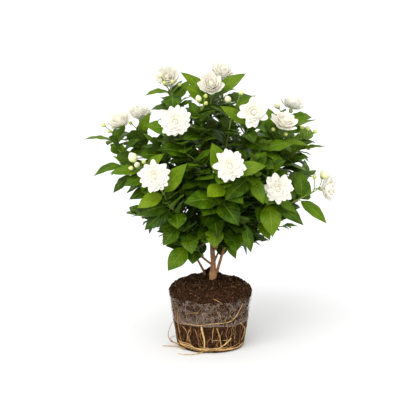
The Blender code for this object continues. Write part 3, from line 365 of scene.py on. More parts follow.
def noise(points, size, seed=0):
    """Value noise from -1 to 1: random numbers on a cubic lattice of that pitch, blended in between."""
    cell = np.asarray(points, float) / size
    low = np.floor(cell)
    t = cell - low
    t = t * t * (3 - 2 * t)
    corner_id = low.astype(np.int64).astype(np.uint64)
    total = 0.0
    for corner in np.ndindex(2, 2, 2):
        key = (corner_id + np.array(corner, np.uint64)) * np.array((73856093, 19349663, 83492791), np.uint64)
        key = key[..., 0] ^ key[..., 1] ^ key[..., 2] ^ np.uint64(seed * 7919 + 17)
        key = (key ^ (key >> np.uint64(13))) * np.uint64(0x9E3779B97F4A7C15)
        value = ((key >> np.uint64(40)) & np.uint64(0xFFFF)).astype(float) / 32767.5 - 1
        total = total + value * np.prod(np.where(corner, t, 1 - t), axis=-1)
    return total


def grid_quads(rows, columns, wrap=False):
    """The quads between neighbours in a grid of points, four indices each; wrap joins the last column on."""
    r = np.arange(rows - 1)[:, None] * columns
    c = np.arange(columns if wrap else columns - 1)[None, :]
    a, b = r + c, r + (c + 1) % columns
    return np.stack([a, b, b + columns, a + columns], axis=-1).reshape(-1, 4)


def fan(pole, ring):
    """The triangles from a pole to a ring of points, wound the way the ring runs."""
    return np.stack([np.full(len(ring), pole), ring, np.roll(ring, -1)], axis=-1)


def sheet(top, thickness):
    """A grid of points as a thin closed solid: the grid, its copy moved back along its normals, the rim."""
    rows, columns = top.shape[:2]
    normal = unit(np.cross(np.gradient(top, axis=1), np.gradient(top, axis=0)))
    count = rows * columns
    points = np.concatenate([top.reshape(-1, 3), (top - thickness * normal).reshape(-1, 3)])
    face = grid_quads(rows, columns)
    index = np.arange(count).reshape(rows, columns)
    rim = np.concatenate([index[0, :-1], index[:-1, -1], index[-1, :0:-1], index[:0:-1, 0]])
    after = np.roll(rim, -1)
    side = np.stack([after, rim, rim + count, after + count], axis=-1)
    return points, np.concatenate([face, face[:, ::-1] + count, side])


def tube(points, radii, sides, dome=0.4):
    """A closed round skin along a path, with domed ends: its rings have one radius each, or one a point."""
    ahead = unit(np.gradient(points, axis=0))
    axis = np.eye(3)[np.abs(ahead).max(axis=0).argmin()]
    side = unit(np.cross(ahead, axis))
    up = np.cross(ahead, side)
    turn = around(sides)
    ring = np.cos(turn)[None, :, None] * side[:, None] + np.sin(turn)[None, :, None] * up[:, None]
    radii = np.broadcast_to(np.asarray(radii, float).reshape(len(points), -1), (len(points), sides))
    skin = (points[:, None] + radii[..., None] * ring).reshape(-1, 3)
    first = points[0] - dome * radii[0].mean() * ahead[0]
    last = points[-1] + dome * radii[-1].mean() * ahead[-1]
    count, foot = len(skin), np.arange(sides)
    thirds = np.concatenate([fan(count, foot[::-1]), fan(count + 1, foot + count - sides)])
    return np.vstack([skin, first, last]), grid_quads(len(points), sides, wrap=True), thirds


class Pile:
    """Shapes gathered for one mesh, each point with its place (u, v) on its shape, its tone and its side."""

    def __init__(self):
        self.points, self.quads, self.thirds, self.uvs, self.tones, self.unders = [], [], [], [], [], []
        self.count = 0

    def add(self, points, quads, thirds=(), uv=(0.5, 0.0), tone=0.5, under=0.0):
        """Take a shape in: its points, its faces of four and of three corners, and its values."""
        self.points.append(points)
        self.quads.append(np.asarray(quads, int).reshape(-1, 4) + self.count)
        self.thirds.append(np.asarray(thirds, int).reshape(-1, 3) + self.count)
        self.uvs.append(np.broadcast_to(uv, (len(points), 2)))
        self.tones.append(np.broadcast_to(tone, len(points)))
        self.unders.append(np.broadcast_to(under, len(points)))
        self.count += len(points)

    def tube(self, path, radii, sides, tone=0.5, under=0.0, dome=0.4):
        """Take a tube in, with one tone or with a tone for each of its rings."""
        if np.ndim(tone):
            tone = np.append(np.repeat(tone, sides), (tone[0], tone[-1]))
        self.add(*tube(path, radii, sides, dome), tone=tone, under=under)

    def made(self, name, finish, slot, replaced=(), smooth_within=50):
        """One finished piece from the pile, riding on the plant's one body."""
        mesh = bpy.data.meshes.new(name)
        faces = np.concatenate(self.quads).tolist() + np.concatenate(self.thirds).tolist()
        mesh.from_pydata((np.concatenate(self.points) * MM).tolist(), [], faces)
        corner = np.empty(len(mesh.loops), np.int32)
        mesh.loops.foreach_get("vertex_index", corner)
        uv = np.concatenate(self.uvs)[corner]
        mesh.uv_layers.new(name="UVMap").data.foreach_set("uv", uv.astype(np.float32).ravel())
        for word, values in (("tone", self.tones), ("under", self.unders)):
            attribute = mesh.attributes.new(word, "FLOAT", "POINT")
            attribute.data.foreach_set("value", np.concatenate(values).astype(np.float32))
        mesh.shade_smooth()
        mesh.set_sharp_from_angle(angle=math.radians(smooth_within))
        mesh.materials.append(finish)
        piece = bpy.data.objects.new(name, mesh)
        bpy.context.scene.collection.objects.link(piece)
        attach(piece, "root")
        if replaced:
            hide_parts(*replaced)
        return piece


# Finishes

def linear(code):
    """An sRGB hex colour as linear values and an alpha of 1: straight in the darks, else a 2.4 power."""
    part = np.array([int(code[i:i + 2], 16) for i in (1, 3, 5)]) / 255
    return (*np.where(part <= 0.04045, part / 12.92, ((part + 0.055) / 1.055) ** 2.4).tolist(), 1.0)


def add(tree, kind, settings, sockets):
    """A node with its settings, and its sockets by name or place, each set to a value or linked."""
    made = tree.nodes.new("ShaderNode" + kind)
    for name, value in settings.items():
        setattr(made, name, value)
    for key, value in sockets.items():
        if isinstance(value, bpy.types.NodeSocket):
            tree.links.new(value, made.inputs[key])
        else:
            made.inputs[key].default_value = value
    return made


def maths(tree, operation, *values):
    """The result of an operation on values or outputs."""
    return add(tree, "Math", {"operation": operation}, dict(enumerate(values))).outputs[0]


def mapped(tree, value, source, target, way="LINEAR"):
    """A value carried from one range to another and held at its ends."""
    ends = {"From Min": source[0], "From Max": source[1], "To Min": target[0], "To Max": target[1]}
    return add(tree, "MapRange", {"interpolation_type": way}, {"Value": value, **ends}).outputs[0]


def mixed(tree, share, first, second):
    """A colour between two."""
    return add(tree, "Mix", {"data_type": "RGBA"}, {"Factor": share, 6: first, 7: second}).outputs[2]


def carried(tree, word):
    """A value that the mesh carries for each of its points."""
    return add(tree, "Attribute", {"attribute_name": word}, {}).outputs["Fac"]


def mottle(tree, spots, scale, detail, **more):
    """Noise over the surface's points."""
    sockets = {"Vector": spots, "Scale": scale, "Detail": detail, **more}
    return add(tree, "TexNoise", {}, sockets).outputs["Fac"]


def ramp(tree, value, stops):
    """A colour ramp over a value, its stops given as (place, hex colour)."""
    made = add(tree, "ValToRGB", {}, {0: value})
    band = made.color_ramp
    band.elements[0].position, band.elements[0].color = stops[0][0], linear(stops[0][1])
    band.elements[1].position, band.elements[1].color = stops[-1][0], linear(stops[-1][1])
    for at, code in stops[1:-1]:
        band.elements.new(at).color = linear(code)
    return made.outputs["Color"]


def raised(tree, height, strength, distance):
    """Normals that follow a height."""
    return add(tree, "Bump", {}, {"Height": height, "Strength": strength, "Distance": distance}).outputs[0]


def started(name, roughness, gloss=0.5):
    """A new material, its tree, its surface's points in metres, and the function that feeds its shader."""
    made = bpy.data.materials.new(name)
    made.use_nodes = True
    tree = made.node_tree
    shader = tree.nodes["Principled BSDF"]

    def feed(**sockets):
        for word, value in sockets.items():
            socket = shader.inputs[word.replace("_", " ")]
            if isinstance(value, bpy.types.NodeSocket):
                tree.links.new(value, socket)
            else:
                socket.default_value = value

    feed(Roughness=roughness, Specular_IOR_Level=gloss)
    return made, tree, add(tree, "TexCoord", {}, {}).outputs["Object"], feed


def skin(name, roughness, scale, detail, drift, stops, bump, rise=1.0):
    """A living skin, and the function that feeds its shader: a noise shifts its tones and roughens it.

    The noise is drawn out upwards where rise is below 1. The stops give the tones their colours, and bump is
    the strength and the distance of the roughness.
    """
    made, tree, spots, feed = started(name, roughness)
    drawn = add(tree, "Mapping", {}, {"Vector": spots, "Scale": (1.0, 1.0, rise)}).outputs[0]
    grain = mottle(tree, drawn, scale, detail)
    shift = mapped(tree, grain, (0.3, 0.7), (-drift, drift))
    tint = ramp(tree, maths(tree, "ADD", carried(tree, "tone"), shift), stops)
    feed(Base_Color=tint, Normal=raised(tree, grain, *bump))
    return made, feed


def vein_lines(tree):
    """Two masks on a leaf's own map: its midrib, and its side veins, which run forward from it as bent lines.

    A side vein is where the phase, the number of vein pairs times the place along the leaf less a slant times
    the place across it, is a whole number.
    """
    own = add(tree, "UVMap", {"uv_map": "UVMap"}, {}).outputs[0]
    u, v = add(tree, "SeparateXYZ", {}, {0: own}).outputs[:2]
    across = maths(tree, "ABSOLUTE", maths(tree, "SUBTRACT", u, 0.5))
    ahead = maths(tree, "SUBTRACT", v, maths(tree, "MULTIPLY", across, 2 * VEIN_SLANT))
    near = maths(tree, "PINGPONG", maths(tree, "MULTIPLY", ahead, float(VEIN_PAIRS)), 0.5)
    side = mapped(tree, near, (0.0, 0.2), (1.0, 0.0), "SMOOTHSTEP")
    rib = mapped(tree, across, (0.008, 0.04), (1.0, 0.0), "SMOOTHSTEP")
    return rib, side


def leaf_green():
    """Glossy evergreen leaf: waxed above, with painted shade along its sunken veins, and a paler, duller
    underside.
    """
    made, tree, spots, feed = started("waxy jasmine leaf", 0.34, 0.13)
    under = carried(tree, "under")
    rib, side = vein_lines(tree)
    drift = mapped(tree, mottle(tree, spots, 75.0, 3.0), (0.3, 0.7), (-0.2, 0.16))
    base = maths(tree, "ADD", carried(tree, "tone"), drift)
    # Painted shade: the blade darkens along its sunken side veins.
    shade = maths(tree, "MULTIPLY_ADD", side, -0.08, base)
    green = ramp(tree, shade, ((0.0, "#213804"), (0.25, "#375304"), (0.5, "#4e6e05"), (0.75, "#5c7707"),
                               (1.0, "#70890e")))
    veined = mixed(tree, maths(tree, "MULTIPLY", rib, 0.3), green, linear("#9ab34c"))
    back = mixed(tree, 0.4, veined, linear("#7f9f48"))
    sunk = maths(tree, "MAXIMUM", side, rib)
    height = maths(tree, "MULTIPLY_ADD", sunk, -0.6, mottle(tree, spots, 260.0, 4.0))
    feed(Base_Color=mixed(tree, under, veined, back), Normal=raised(tree, height, 0.5, 0.0014),
         Roughness=mapped(tree, under, (0.0, 1.0), (0.34, 0.6)))
    return made


def petal_white():
    """Fresh petal: soft and matt, white with a cream heart, light passing a little way into it."""
    stops = ((0.0, "#faf7ec"), (0.5, "#f9f3e0"), (0.8, "#f7edcc"), (1.0, "#dcdc9c"))
    made, feed = skin("fresh white petal", 0.55, 700.0, 2.0, 0.0, stops, (0.2, 0.0002))
    feed(Subsurface_Weight=0.15, Subsurface_Radius=(1.0, 0.95, 0.85), Subsurface_Scale=0.001)
    return made


def bud_cream():
    """Closed bud: waxy yellow-green while small, cream when it is ready to open, greener at its foot."""
    stops = ((0.0, "#a3b53c"), (0.35, "#ccd36e"), (0.7, "#e9e8b4"), (1.0, "#f6f3dc"))
    made, feed = skin("waxy jasmine bud", 0.45, 900.0, 2.0, 0.0, stops, (0.15, 0.0002))
    feed(Subsurface_Weight=0.15, Subsurface_Radius=(1.0, 1.0, 0.6), Subsurface_Scale=0.001)
    return made


def shoot_green():
    """Young stem, flower stalk and calyx: soft green skin that is brown where the shoot leaves old wood."""
    stops = ((0.0, "#6d4d33"), (0.35, "#857a3c"), (0.6, "#80903a"), (1.0, "#7d9a38"))
    return skin("young green shoot", 0.5, 260.0, 3.0, 0.12, stops, (0.3, 0.0003))[0]


def bark_brown():
    """Thin jasmine bark: grey-brown with long fine cracks, tan where it has rubbed at the trunk's foot."""
    stops = ((0.0, "#432a18"), (0.35, "#765036"), (0.7, "#a0734b"), (1.0, "#c99a69"))
    return skin("fissured jasmine bark", 0.85, 900.0, 4.0, 0.3, stops, (0.6, 0.0006), 0.16)[0]


def root_tan():
    """Living root: firm tan-yellow skin, browner where soil clings to it."""
    stops = ((0.0, "#492e15"), (0.4, "#835a30"), (0.7, "#b2854a"), (1.0, "#dcb676"))
    return skin("tan root skin", 0.6, 240.0, 3.0, 0.25, stops, (0.3, 0.0004))[0]


def soil_brown():
    """Damp potting mix: near black, crumbly, with red-brown bits of bark and a few tan fibres."""
    made, tree, spots, feed = started("damp potting soil", 0.95, 0.08)
    grit = mottle(tree, spots, 520.0, 5.0)
    shade = maths(tree, "MULTIPLY_ADD", carried(tree, "tone"), 0.5, grit)
    tint = ramp(tree, shade, ((0.38, "#100704"), (0.57, "#2f1c10"), (0.77, "#563a25"), (1.0, "#83603f")))
    feed(Base_Color=tint, Normal=raised(tree, grit, 0.9, 0.0012))
    return made


def clear_film():
    """Crumpled polythene film: milky where it stands off the soil, clear where it clings to it, glossy. Its
    tone also brings a painted highlight along the film's lower edge.
    """
    made, tree, spots, feed = started("crumpled clear polythene", 0.3, 0.3)
    cling = mottle(tree, spots, 300.0, 4.0, Roughness=0.55, Distortion=0.4)
    stand = maths(tree, "MULTIPLY_ADD", mottle(tree, spots, 110.0, 2.0), 0.7, cling)
    # The tone lifts it further: on the hem, and as a painted highlight along the lower edge.
    milk_and_edge_highlight = maths(tree, "ADD", stand, carried(tree, "tone"))
    crease = mottle(tree, spots, 260.0, 3.0, Distortion=1.5)
    feed(Base_Color=ramp(tree, milk_and_edge_highlight, ((0.6, "#67513f"), (1.0, "#ac9a8b"))),
         Alpha=mapped(tree, milk_and_edge_highlight, (0.8, 1.25), (0.03, 0.38)), Normal=raised(tree, crease, 0.6, 0.001))
    return made


# Leaves

LEAF_STALK = 0.09
LEAF_THICK = 0.35
BLADE_SWELL = 0.83
BLADE_TAPER = 1.1
BLADE_BROADER = 1.05
TIP_HALF = 0.3
BLADE_FOLD = math.radians(14)
BLADE_CURL = 0.16
VEIN_PAIRS = 6
VEIN_SLANT = 0.32
BLADE_TWIST = 0.15
BLADE_RIPPLE = 0.07
PILLOW = 0.7
STALK_RADII = (0.8, 0.6, 0.12)
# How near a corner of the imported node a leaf's tip has to be
MATCH = 0.6
HERO_GRID = (33, 11)
RULE_GRID = (19, 7)
FILL_GRID = (10, 5)
# Added leaves: the lengths of each turn along a stem, where a turn starts, and how clear of others they stay
FILL_LENGTHS = (40.0, 34.0, 28.0)
FILL_START = 4.0
FILL_SHIFT = 7.0
FILL_SPACING = 20.0
FILL_GUARD = 1.0
# Tones of added, ruled and inner leaves: the darkest, and how much lighter towards the crown's skin; painted
# shade
FILL_TONES = (0.06, 0.45)
RULE_TONES = (0.1, 0.45)
INNER_TONES = (0.05, 0.4)
INNER_ABOVE = 132.0
# The two pairs of leaves at a shoot's end: how wide they spread, and their length
TIP_PAIRS = ((0.75, 24.0), (0.3, 13.0))
# The trunk's foot stays in view: no added leaf where it would be seen across it
BARE_BELOW = 152.0
BARE_REACH = 44.0


def half_width(t, width, swell, taper):
    """Half a blade's width at shares t of it: a power of the place along it times a power of what is left."""
    peak = swell / (swell + taper)
    full = (t / peak) ** swell * ((1 - t) / (1 - peak)) ** taper
    return np.maximum(0.5 * width * full, TIP_HALF)


def leaf_line(root, tip, normal, arch, share):
    """A leaf's mid-line at shares of its length, with its directions to the side and up.

    It is a quadratic curve from root to tip that rises along the leaf's normal by arch times its length.
    """
    chord = tip - root
    length = np.linalg.norm(chord)
    lift = unit(normal - (normal @ chord) * chord / length**2)
    knee = (root + tip) / 2 + 2 * arch * length * lift
    point, ahead = bend(root, knee, tip, np.asarray(share, float)[:, None])
    side = unit(np.cross(ahead, lift))
    return point, side, np.cross(side, ahead)


def leaf(pile, root, tip, width, normal, arch, grid, tone, draw, stem_line):
    """One leaf: a blade with pillows between sunken veins, and a stalk that runs on as a rib beneath it.

    Across, the blade stands up to a V that opens towards the tip, curls down at the edges by the square of
    the place, ripples along them by sines, and swells between side veins by a squared sine of their phase.
    """
    rows, columns = grid
    t = np.linspace(0, 1, rows)
    point, side, up = leaf_line(root, tip, normal, arch, LEAF_STALK + (1 - LEAF_STALK) * t)
    twist = (draw.uniform(-BLADE_TWIST, BLADE_TWIST) * (t - 0.3))[:, None]
    side, up = np.cos(twist) * side + np.sin(twist) * up, np.cos(twist) * up - np.sin(twist) * side
    half = half_width(t, BLADE_BROADER * width, BLADE_SWELL, BLADE_TAPER)[:, None]
    u = np.linspace(-1, 1, columns)[None, :]
    wide = np.abs(u)
    fold = (BLADE_FOLD * draw.uniform(0.5, 1.4) * (1 - 0.5 * t))[:, None]
    waves = draw.uniform(2.2, 3.6)
    ripple = np.sin(2 * math.pi * (waves * t[:, None] + np.where(u < 0, draw.uniform(), draw.uniform())))
    rise = half * (wide * np.sin(fold) - BLADE_CURL * draw.uniform(0.4, 1.4) * wide**2)
    rise = rise + BLADE_RIPPLE * half * ripple * wide**3
    phase = VEIN_PAIRS * (t[:, None] - VEIN_SLANT * wide)
    swell = np.sin(math.pi * phase) ** 2 * wide**0.6 * (1 - 0.8 * wide**2)
    rise = rise + PILLOW * np.minimum(half / 8, 1.2) * swell
    across = (u * half * np.cos(fold))[..., None] * side[:, None]
    top = point[:, None] + across + rise[..., None] * up[:, None]
    points, quads = sheet(top, LEAF_THICK)
    uv = np.stack(np.broadcast_arrays((u + 1) / 2, t[:, None]), axis=-1).reshape(-1, 2)
    pile.add(points, quads, uv=np.tile(uv, (2, 1)), tone=tone, under=np.repeat((0.0, 1.0), rows * columns))
    detail = 6 if rows > FILL_GRID[0] else 3
    share = np.concatenate([np.linspace(0, LEAF_STALK, detail // 2 + 1), np.linspace(0.2, 0.9, detail)])
    point, side, up = leaf_line(root, tip, normal, arch, share)
    radius = np.interp(share, (0, LEAF_STALK, 0.9), STALK_RADII)
    rib = point - (np.where(share > LEAF_STALK, LEAF_THICK, 0.15) + 0.2 * radius)[:, None] * up
    rib[0] = stem_line[np.linalg.norm(stem_line - root, axis=1).argmin()]
    pile.tube(rib, radius, 4, tone=min(1.0, tone + 0.2), under=0.6)
    return top


def shoot_tip(pile, points, line, index):
    """The young end of a shoot: two opposite pairs of small bright leaves ahead of its last point."""
    tip = points[-1]
    ahead = unit(tip - points[-2])
    level = unit(np.cross(ahead, UP))
    upright = np.cross(level, ahead)
    draw = np.random.default_rng([14, index])
    for round_stem, (spread, size) in zip((level, upright), TIP_PAIRS):
        for hand in (-1, 1):
            heading = unit(ahead + hand * spread * round_stem + draw.uniform(-0.15, 0.15, 3))
            long = size * draw.uniform(0.85, 1.15)
            leaf(pile, tip, tip + long * heading, 0.42 * long, unit(UP + 0.4 * ahead + 0.3 * heading),
                 RULE_ARCH, FILL_GRID, draw.uniform(0.45, 0.75), draw, line)


def rule_leaves(seed, points, first=FIRST_PAIR, spacing=LEAF_SPACING, size=LEAF_LENGTH):
    """Opposite pairs of leaves along a stem, each pair turned a quarter from the last, with drooping tips."""
    lengths = run_to(points)
    for pair, reach in enumerate(np.arange(first, lengths[-1] - LAST_PAIR, spacing)):
        root, ahead = along(points, np.interp(reach, lengths, np.arange(len(points))))
        level = unit(np.cross(ahead, UP) + 1e-9)
        upright = np.cross(level, ahead)
        outward = unit((root[0], root[1], 30.0))
        for hand in (0, 1):
            draw = np.random.default_rng([*seed, pair, hand])
            turn = math.radians(45 + 90 * pair + 180 * hand) + draw.uniform(-0.4, 0.4)
            spread = math.radians(draw.uniform(48, 72))
            round_stem = math.cos(turn) * level + math.sin(turn) * upright
            heading = math.cos(spread) * ahead + math.sin(spread) * round_stem
            heading = unit(heading + 0.35 * outward + draw.uniform(-0.45, 0.0) * UP)
            length = size * draw.uniform(0.82, 1.1)
            normal = unit(UP + 0.5 * ahead + 0.35 * outward)
            yield root, root + length * heading, length * draw.uniform(*LEAF_SHARE), normal


def tries(root, tip, spread):
    """The leaf's own tip, then tips swung a little about the root, shorter ones last."""
    reach = tip - root
    yield tip
    side = unit(np.cross(reach, UP))
    over = np.cross(side, unit(reach))
    length = np.linalg.norm(reach)
    for shrink in (1.0, 0.9, 0.8):
        for a, b in SWINGS:
            moved = reach + spread * length * (a * side + b * over)
            yield root + shrink * length * unit(moved)


def node_points(name):
    """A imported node's corners in millimetres."""
    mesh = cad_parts[name].data
    spots = np.empty(3 * len(mesh.vertices), np.float32)
    mesh.vertices.foreach_get("co", spots)
    return spots.reshape(-1, 3).astype(float) / MM


def packed_tip(corners, root, end, spread):
    """The first of a leaf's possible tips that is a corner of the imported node, if there is one."""
    for spot in tries(root, end, spread):
        if np.linalg.norm(corners - spot, axis=1).min() < MATCH:
            return spot
    return None


def inside_crown(point):
    """Whether a leaf's tip is in the crown: in its outline as seen, off the trunk, and not too deep."""
    across, up = seen_at(point)
    heights, left, right = np.transpose(CROWN_OUTLINE)
    if not heights[0] < up < heights[-1] or (up < BARE_BELOW and abs(across) < BARE_REACH):
        return False
    left, right = np.interp(up, heights, left), np.interp(up, heights, right)
    middle, half = (right - left) / 2, (right + left) / 2
    return ((across - middle) / half) ** 2 + (point[1] / (half * CROWN_DEPTH_SHARE)) ** 2 < 1.0


def leaf_tone(point, base, gain):
    """An added or ruled leaf's tone, painted light and shade: darker deep in the crown, lighter towards its
    skin, and lighter again in its sunlit upper half.
    """
    outward = np.hypot(point[0], point[1]) / CROWN_REACH + max(0.0, point[2] - CROWN_SHOULDER) / 400
    sunlit = (point[2] - SUNLIT_ABOVE) / 110
    return base + gain * min(1.0, outward) ** 2 + 0.2 * min(1.0, max(0.0, sunlit))


class Room:
    """What leaves may not cross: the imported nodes, the blades drawn first, and the leaves added since."""

    def __init__(self, blades):
        points, faces, count = [], [], 0
        for blade in blades:
            points.append(blade.reshape(-1, 3))
            faces += (grid_quads(*blade.shape[:2]) + count).tolist()
            count += len(points[-1])
        for name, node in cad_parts.items():
            points.append(node_points(name))
            faces += [[v + count for v in face.vertices] for face in node.data.polygons]
            count += len(points[-1])
        self.solid = BVHTree.FromPolygons(np.concatenate(points).tolist(), faces)
        self.leaves = []

    def takes(self, root, tip, width, normal, arch):
        """Whether the leaf's kite is clear past its foot; a clear one is then kept as taken."""
        point, side, up = leaf_line(root, tip, normal, arch, (0.16, 0.5, 0.8, 1.0))
        half = np.array((0.0, 0.5, 0.36, 0.0))[:, None] * width * side
        guard = FILL_GUARD * up
        spots = np.concatenate([point - half + guard, point + half + guard,
                                point - half - guard, point + half - guard])
        faces = [(r, r + 1, r + 5, r + 4) for r in (0, 1, 2, 8, 9, 10)]
        tree = BVHTree.FromPolygons(spots.tolist(), faces)
        if tree.overlap(self.solid) or any(tree.overlap(other) for other in self.leaves):
            return False
        self.leaves.append(tree)
        return True

    def first(self, root, end, width, normal):
        """The first of a leaf's possible tips that lies in the crown and is clear, if there is one."""
        for spot in tries(root, end, RULE_SWING):
            if inside_crown(spot) and self.takes(root, spot, width, normal, RULE_ARCH):
                return spot
        return None

    def fill(self, pile, points, line, index, marks, tones, above=0.0):
        """Leaves added along a stem wherever there is room, in turns of shorter and shorter ones.

        The stem's index and the two marks seed the draws of their places and of their shapes.
        """
        for turn, size in enumerate(FILL_LENGTHS):
            start = FILL_START + FILL_SHIFT * turn
            rows = rule_leaves([index, marks[0], turn], points, start, FILL_SPACING, size)
            for k, (root, end, width, normal) in enumerate(rows):
                tip = self.first(root, end, width, normal) if root[2] > above else None
                if tip is not None:
                    draw = np.random.default_rng([marks[1], index, turn, k])
                    tone = leaf_tone(tip, *tones)
                    leaf(pile, root, tip, width, normal, RULE_ARCH, FILL_GRID, tone, draw, line)


# Flowers

BUD_SWELL = 0.4
PETAL_THICK = 0.3
PETAL_SWELL = 0.78
PETAL_TAPER = 0.6
PETAL_GRID = (9, 7)
# Layers of a bloom from outside in: petals, knee and tip of a petal's curve as (reach, height), width
BLOOM_LAYERS = {
    "open": ((9, (12.0, -2.2), (24.4, 0.8), 11.0), (9, (11.8, 0.0), (23.2, 2.4), 11.0),
             (9, (10.4, 1.6), (20.4, 4.4), 11.0), (8, (8.8, 3.2), (17.0, 6.0), 10.5),
             (8, (7.2, 4.6), (13.4, 7.6), 9.5), (7, (6.0, 5.6), (10.4, 8.8), 8.5),
             (6, (4.8, 6.6), (7.6, 9.8), 7.5), (5, (5.0, 7.2), (0.8, 11.2), 6.5)),
    "star": ((8, (12.0, -2.0), (25.0, 0.6), 13.0), (6, (9.5, 1.2), (18.6, 5.0), 12.0),
             (6, (6.8, 4.0), (12.4, 8.2), 10.5), (6, (5.0, 6.0), (8.2, 9.8), 8.5),
             (5, (5.0, 7.2), (0.8, 11.4), 6.5)),
    "cup": ((8, (12.5, -2.5), (20.0, 9.6), 14.0), (7, (10.5, 0.5), (16.6, 13.6), 13.0),
            (6, (8.0, 3.0), (11.6, 15.6), 11.5), (5, (5.8, 6.0), (7.2, 16.0), 10.0),
            (5, (5.4, 9.6), (0.8, 15.0), 6.5)),
    "flare": ((8, (12.5, -2.5), (22.5, 7.0), 13.5), (7, (10.5, 0.5), (18.8, 12.0), 13.0),
              (6, (8.2, 3.0), (13.0, 14.6), 11.5), (5, (6.0, 6.0), (8.0, 15.6), 10.0),
              (5, (5.4, 9.6), (0.8, 15.0), 6.5)),
}
# Its closed heart: the radius, and how far its middle stands above the bloom's centre
BLOOM_HEART = {"open": (2.7, 7.2), "star": (2.7, 7.4), "cup": (2.8, 10.8), "flare": (2.8, 10.8)}
# Petals seen on a heart or a bud, points round it and rings along it
HEART_GRID = (5, 30, 11)
BUD_GRID = (4, 20, 11)
BIG_BUD_GRID = (5, 30, 15)
HEART_TONES = (0.85, 0.85, 0.55)
# A bloom's neck, and the green cup below it: radius, tooth, teeth, flare
NECK_AT = (-8.5, -6.0, -3.0, -0.8)
NECK_RADII = (1.5, 1.6, 2.0, 3.0)
BLOOM_CALYX = (2.1, 6.0, 8, 0.5)
CUP_AT = np.array((-0.9, -0.5, 0.1, 0.7))
CUP_RADII = np.array((0.35, 0.75, 1.0, 1.02))
TOOTH_RADII = (0.5, 0.42, 0.28, 0.08)
CALYX_TONE = 0.95


def petal(knee, tip, foot, angle, width, cup, draw):
    """One petal: a quadratic curve out from the foot, broad towards its pointed tip, cupped and waved.

    Across, it rises by cup times the square of the place, and waves by a sine that grows towards the tip.
    """
    rows, columns = PETAL_GRID
    t = np.sin(np.linspace(0, math.pi / 2, rows))[:, None]
    line, ahead = bend(*(np.array(spot, float) for spot in (foot, knee, tip)), t)
    half = half_width(t, width, PETAL_SWELL, PETAL_TAPER)
    u = np.linspace(-1, 1, columns)[None, :]
    wave = draw.uniform(0.04, 0.12) * np.sin(2 * math.pi * (1.5 * t + draw.uniform()) + 2.0 * u) * t
    rise = half * (cup * u**2 + wave)
    reach = line[:, :1] - ahead[:, 1:] * rise
    height = line[:, 1:] + ahead[:, :1] * rise
    out = np.array((math.cos(angle), math.sin(angle), 0.0))
    side = np.array((math.sin(angle), -math.cos(angle), 0.0))
    across = u * half + draw.uniform(-0.08, 0.08) * reach
    return reach[..., None] * out + across[..., None] * side + height[..., None] * UP


def wound_egg(pile, middle, away, radius, petals, sides, rows, tones):
    """Closed petals: an egg with their edges wound round it, its tones those of its lower end, foot and tip.

    Its radius is a power of a sine along it, and each petal's edge a soft saw tooth that turns as it rises.
    """
    share = np.linspace(0.03, 0.97, rows)
    egg = np.sin(math.pi * share**0.85) ** 0.72
    turn = np.arange(sides) / sides
    saw = np.interp((petals * (turn[None, :] + 0.3 * share[:, None])) % 1.0, (0, 0.65, 1), (0, 1, 0))
    skin_radii = radius * egg[:, None] * (1 + 0.1 * (saw - 0.5) * np.clip(4 * share[:, None] - 0.6, 0, 1))
    line = middle + np.outer((2.45 * share - 1.15) * radius, away)
    end, foot, tip = tones
    tone = np.append(np.repeat(foot + (tip - foot) * share, sides), (end, tip))
    pile.add(*tube(line, skin_radii, sides), tone=tone)


def bloom(pile, form, centre, facing, seed):
    """A double flower: layers of petals from the outside in, each layer turned half a step from the last."""
    turn = turned_to(facing)
    draw = np.random.default_rng([41, seed])
    rows, columns = PETAL_GRID
    share = np.repeat(np.sin(np.linspace(0, math.pi / 2, rows)), columns)
    uv = np.stack([np.tile(np.linspace(0, 1, columns), rows), share], axis=-1)
    offset = draw.uniform(0, 2 * math.pi)
    layers = BLOOM_LAYERS[form]
    for layer, (count, knee, tip, width) in enumerate(layers):
        heart = layer / (len(layers) - 1)
        tone = (0.3 + 0.25 * heart) * (1 - share) ** 1.5 + 0.25 * heart**2
        foot = (1.8 - 0.2 * layer, -1.4 + 0.7 * layer)
        for k in range(count):
            angle = offset + 2 * math.pi / count * (k + 0.5 * layer) + draw.uniform(-0.22, 0.22)
            grown = draw.uniform(0.86, 1.03)
            lifted = draw.uniform(-1.3, 1.3) * (1 - 0.7 * heart)
            own_tip = (tip[0] * grown, tip[1] + lifted)
            own_knee = (knee[0] * grown, knee[1] + 0.5 * lifted)
            cup = draw.uniform(0.1, 0.34)
            top = petal(own_knee, own_tip, foot, angle, width * draw.uniform(0.92, 1.06), cup, draw)
            points, quads = sheet(top, PETAL_THICK)
            pile.add(points @ turn.T + centre, quads, uv=np.tile(uv, (2, 1)), tone=np.tile(tone, 2))
    radius, stand = BLOOM_HEART[form]
    wound_egg(pile, centre + stand * facing, facing, radius, *HEART_GRID, HEART_TONES)
    pile.tube(centre + np.outer(NECK_AT, facing), NECK_RADII, 10, tone=0.9)


def calyx(pile, foot, facing, radius, tooth, count, flare, draw):
    """A green cup with narrow teeth: a short flared tube, and curved spikes that lean out from its rim."""
    pile.tube(foot + np.outer(CUP_AT * radius, facing), CUP_RADII * radius, 10, tone=CALYX_TONE)
    turn = turned_to(facing)
    share = np.linspace(0, 1, 4)
    for k in range(count):
        angle = 2 * math.pi * (k + draw.uniform(-0.15, 0.15)) / count
        out = math.cos(angle) * turn[:, 0] + math.sin(angle) * turn[:, 1]
        long = tooth * draw.uniform(0.8, 1.15)
        reach = 0.95 * radius + flare * long * share**1.4
        rise = 0.4 * radius + long * share
        spike = foot + reach[:, None] * out + rise[:, None] * facing
        pile.tube(spike, TOOTH_RADII, 4, tone=CALYX_TONE)


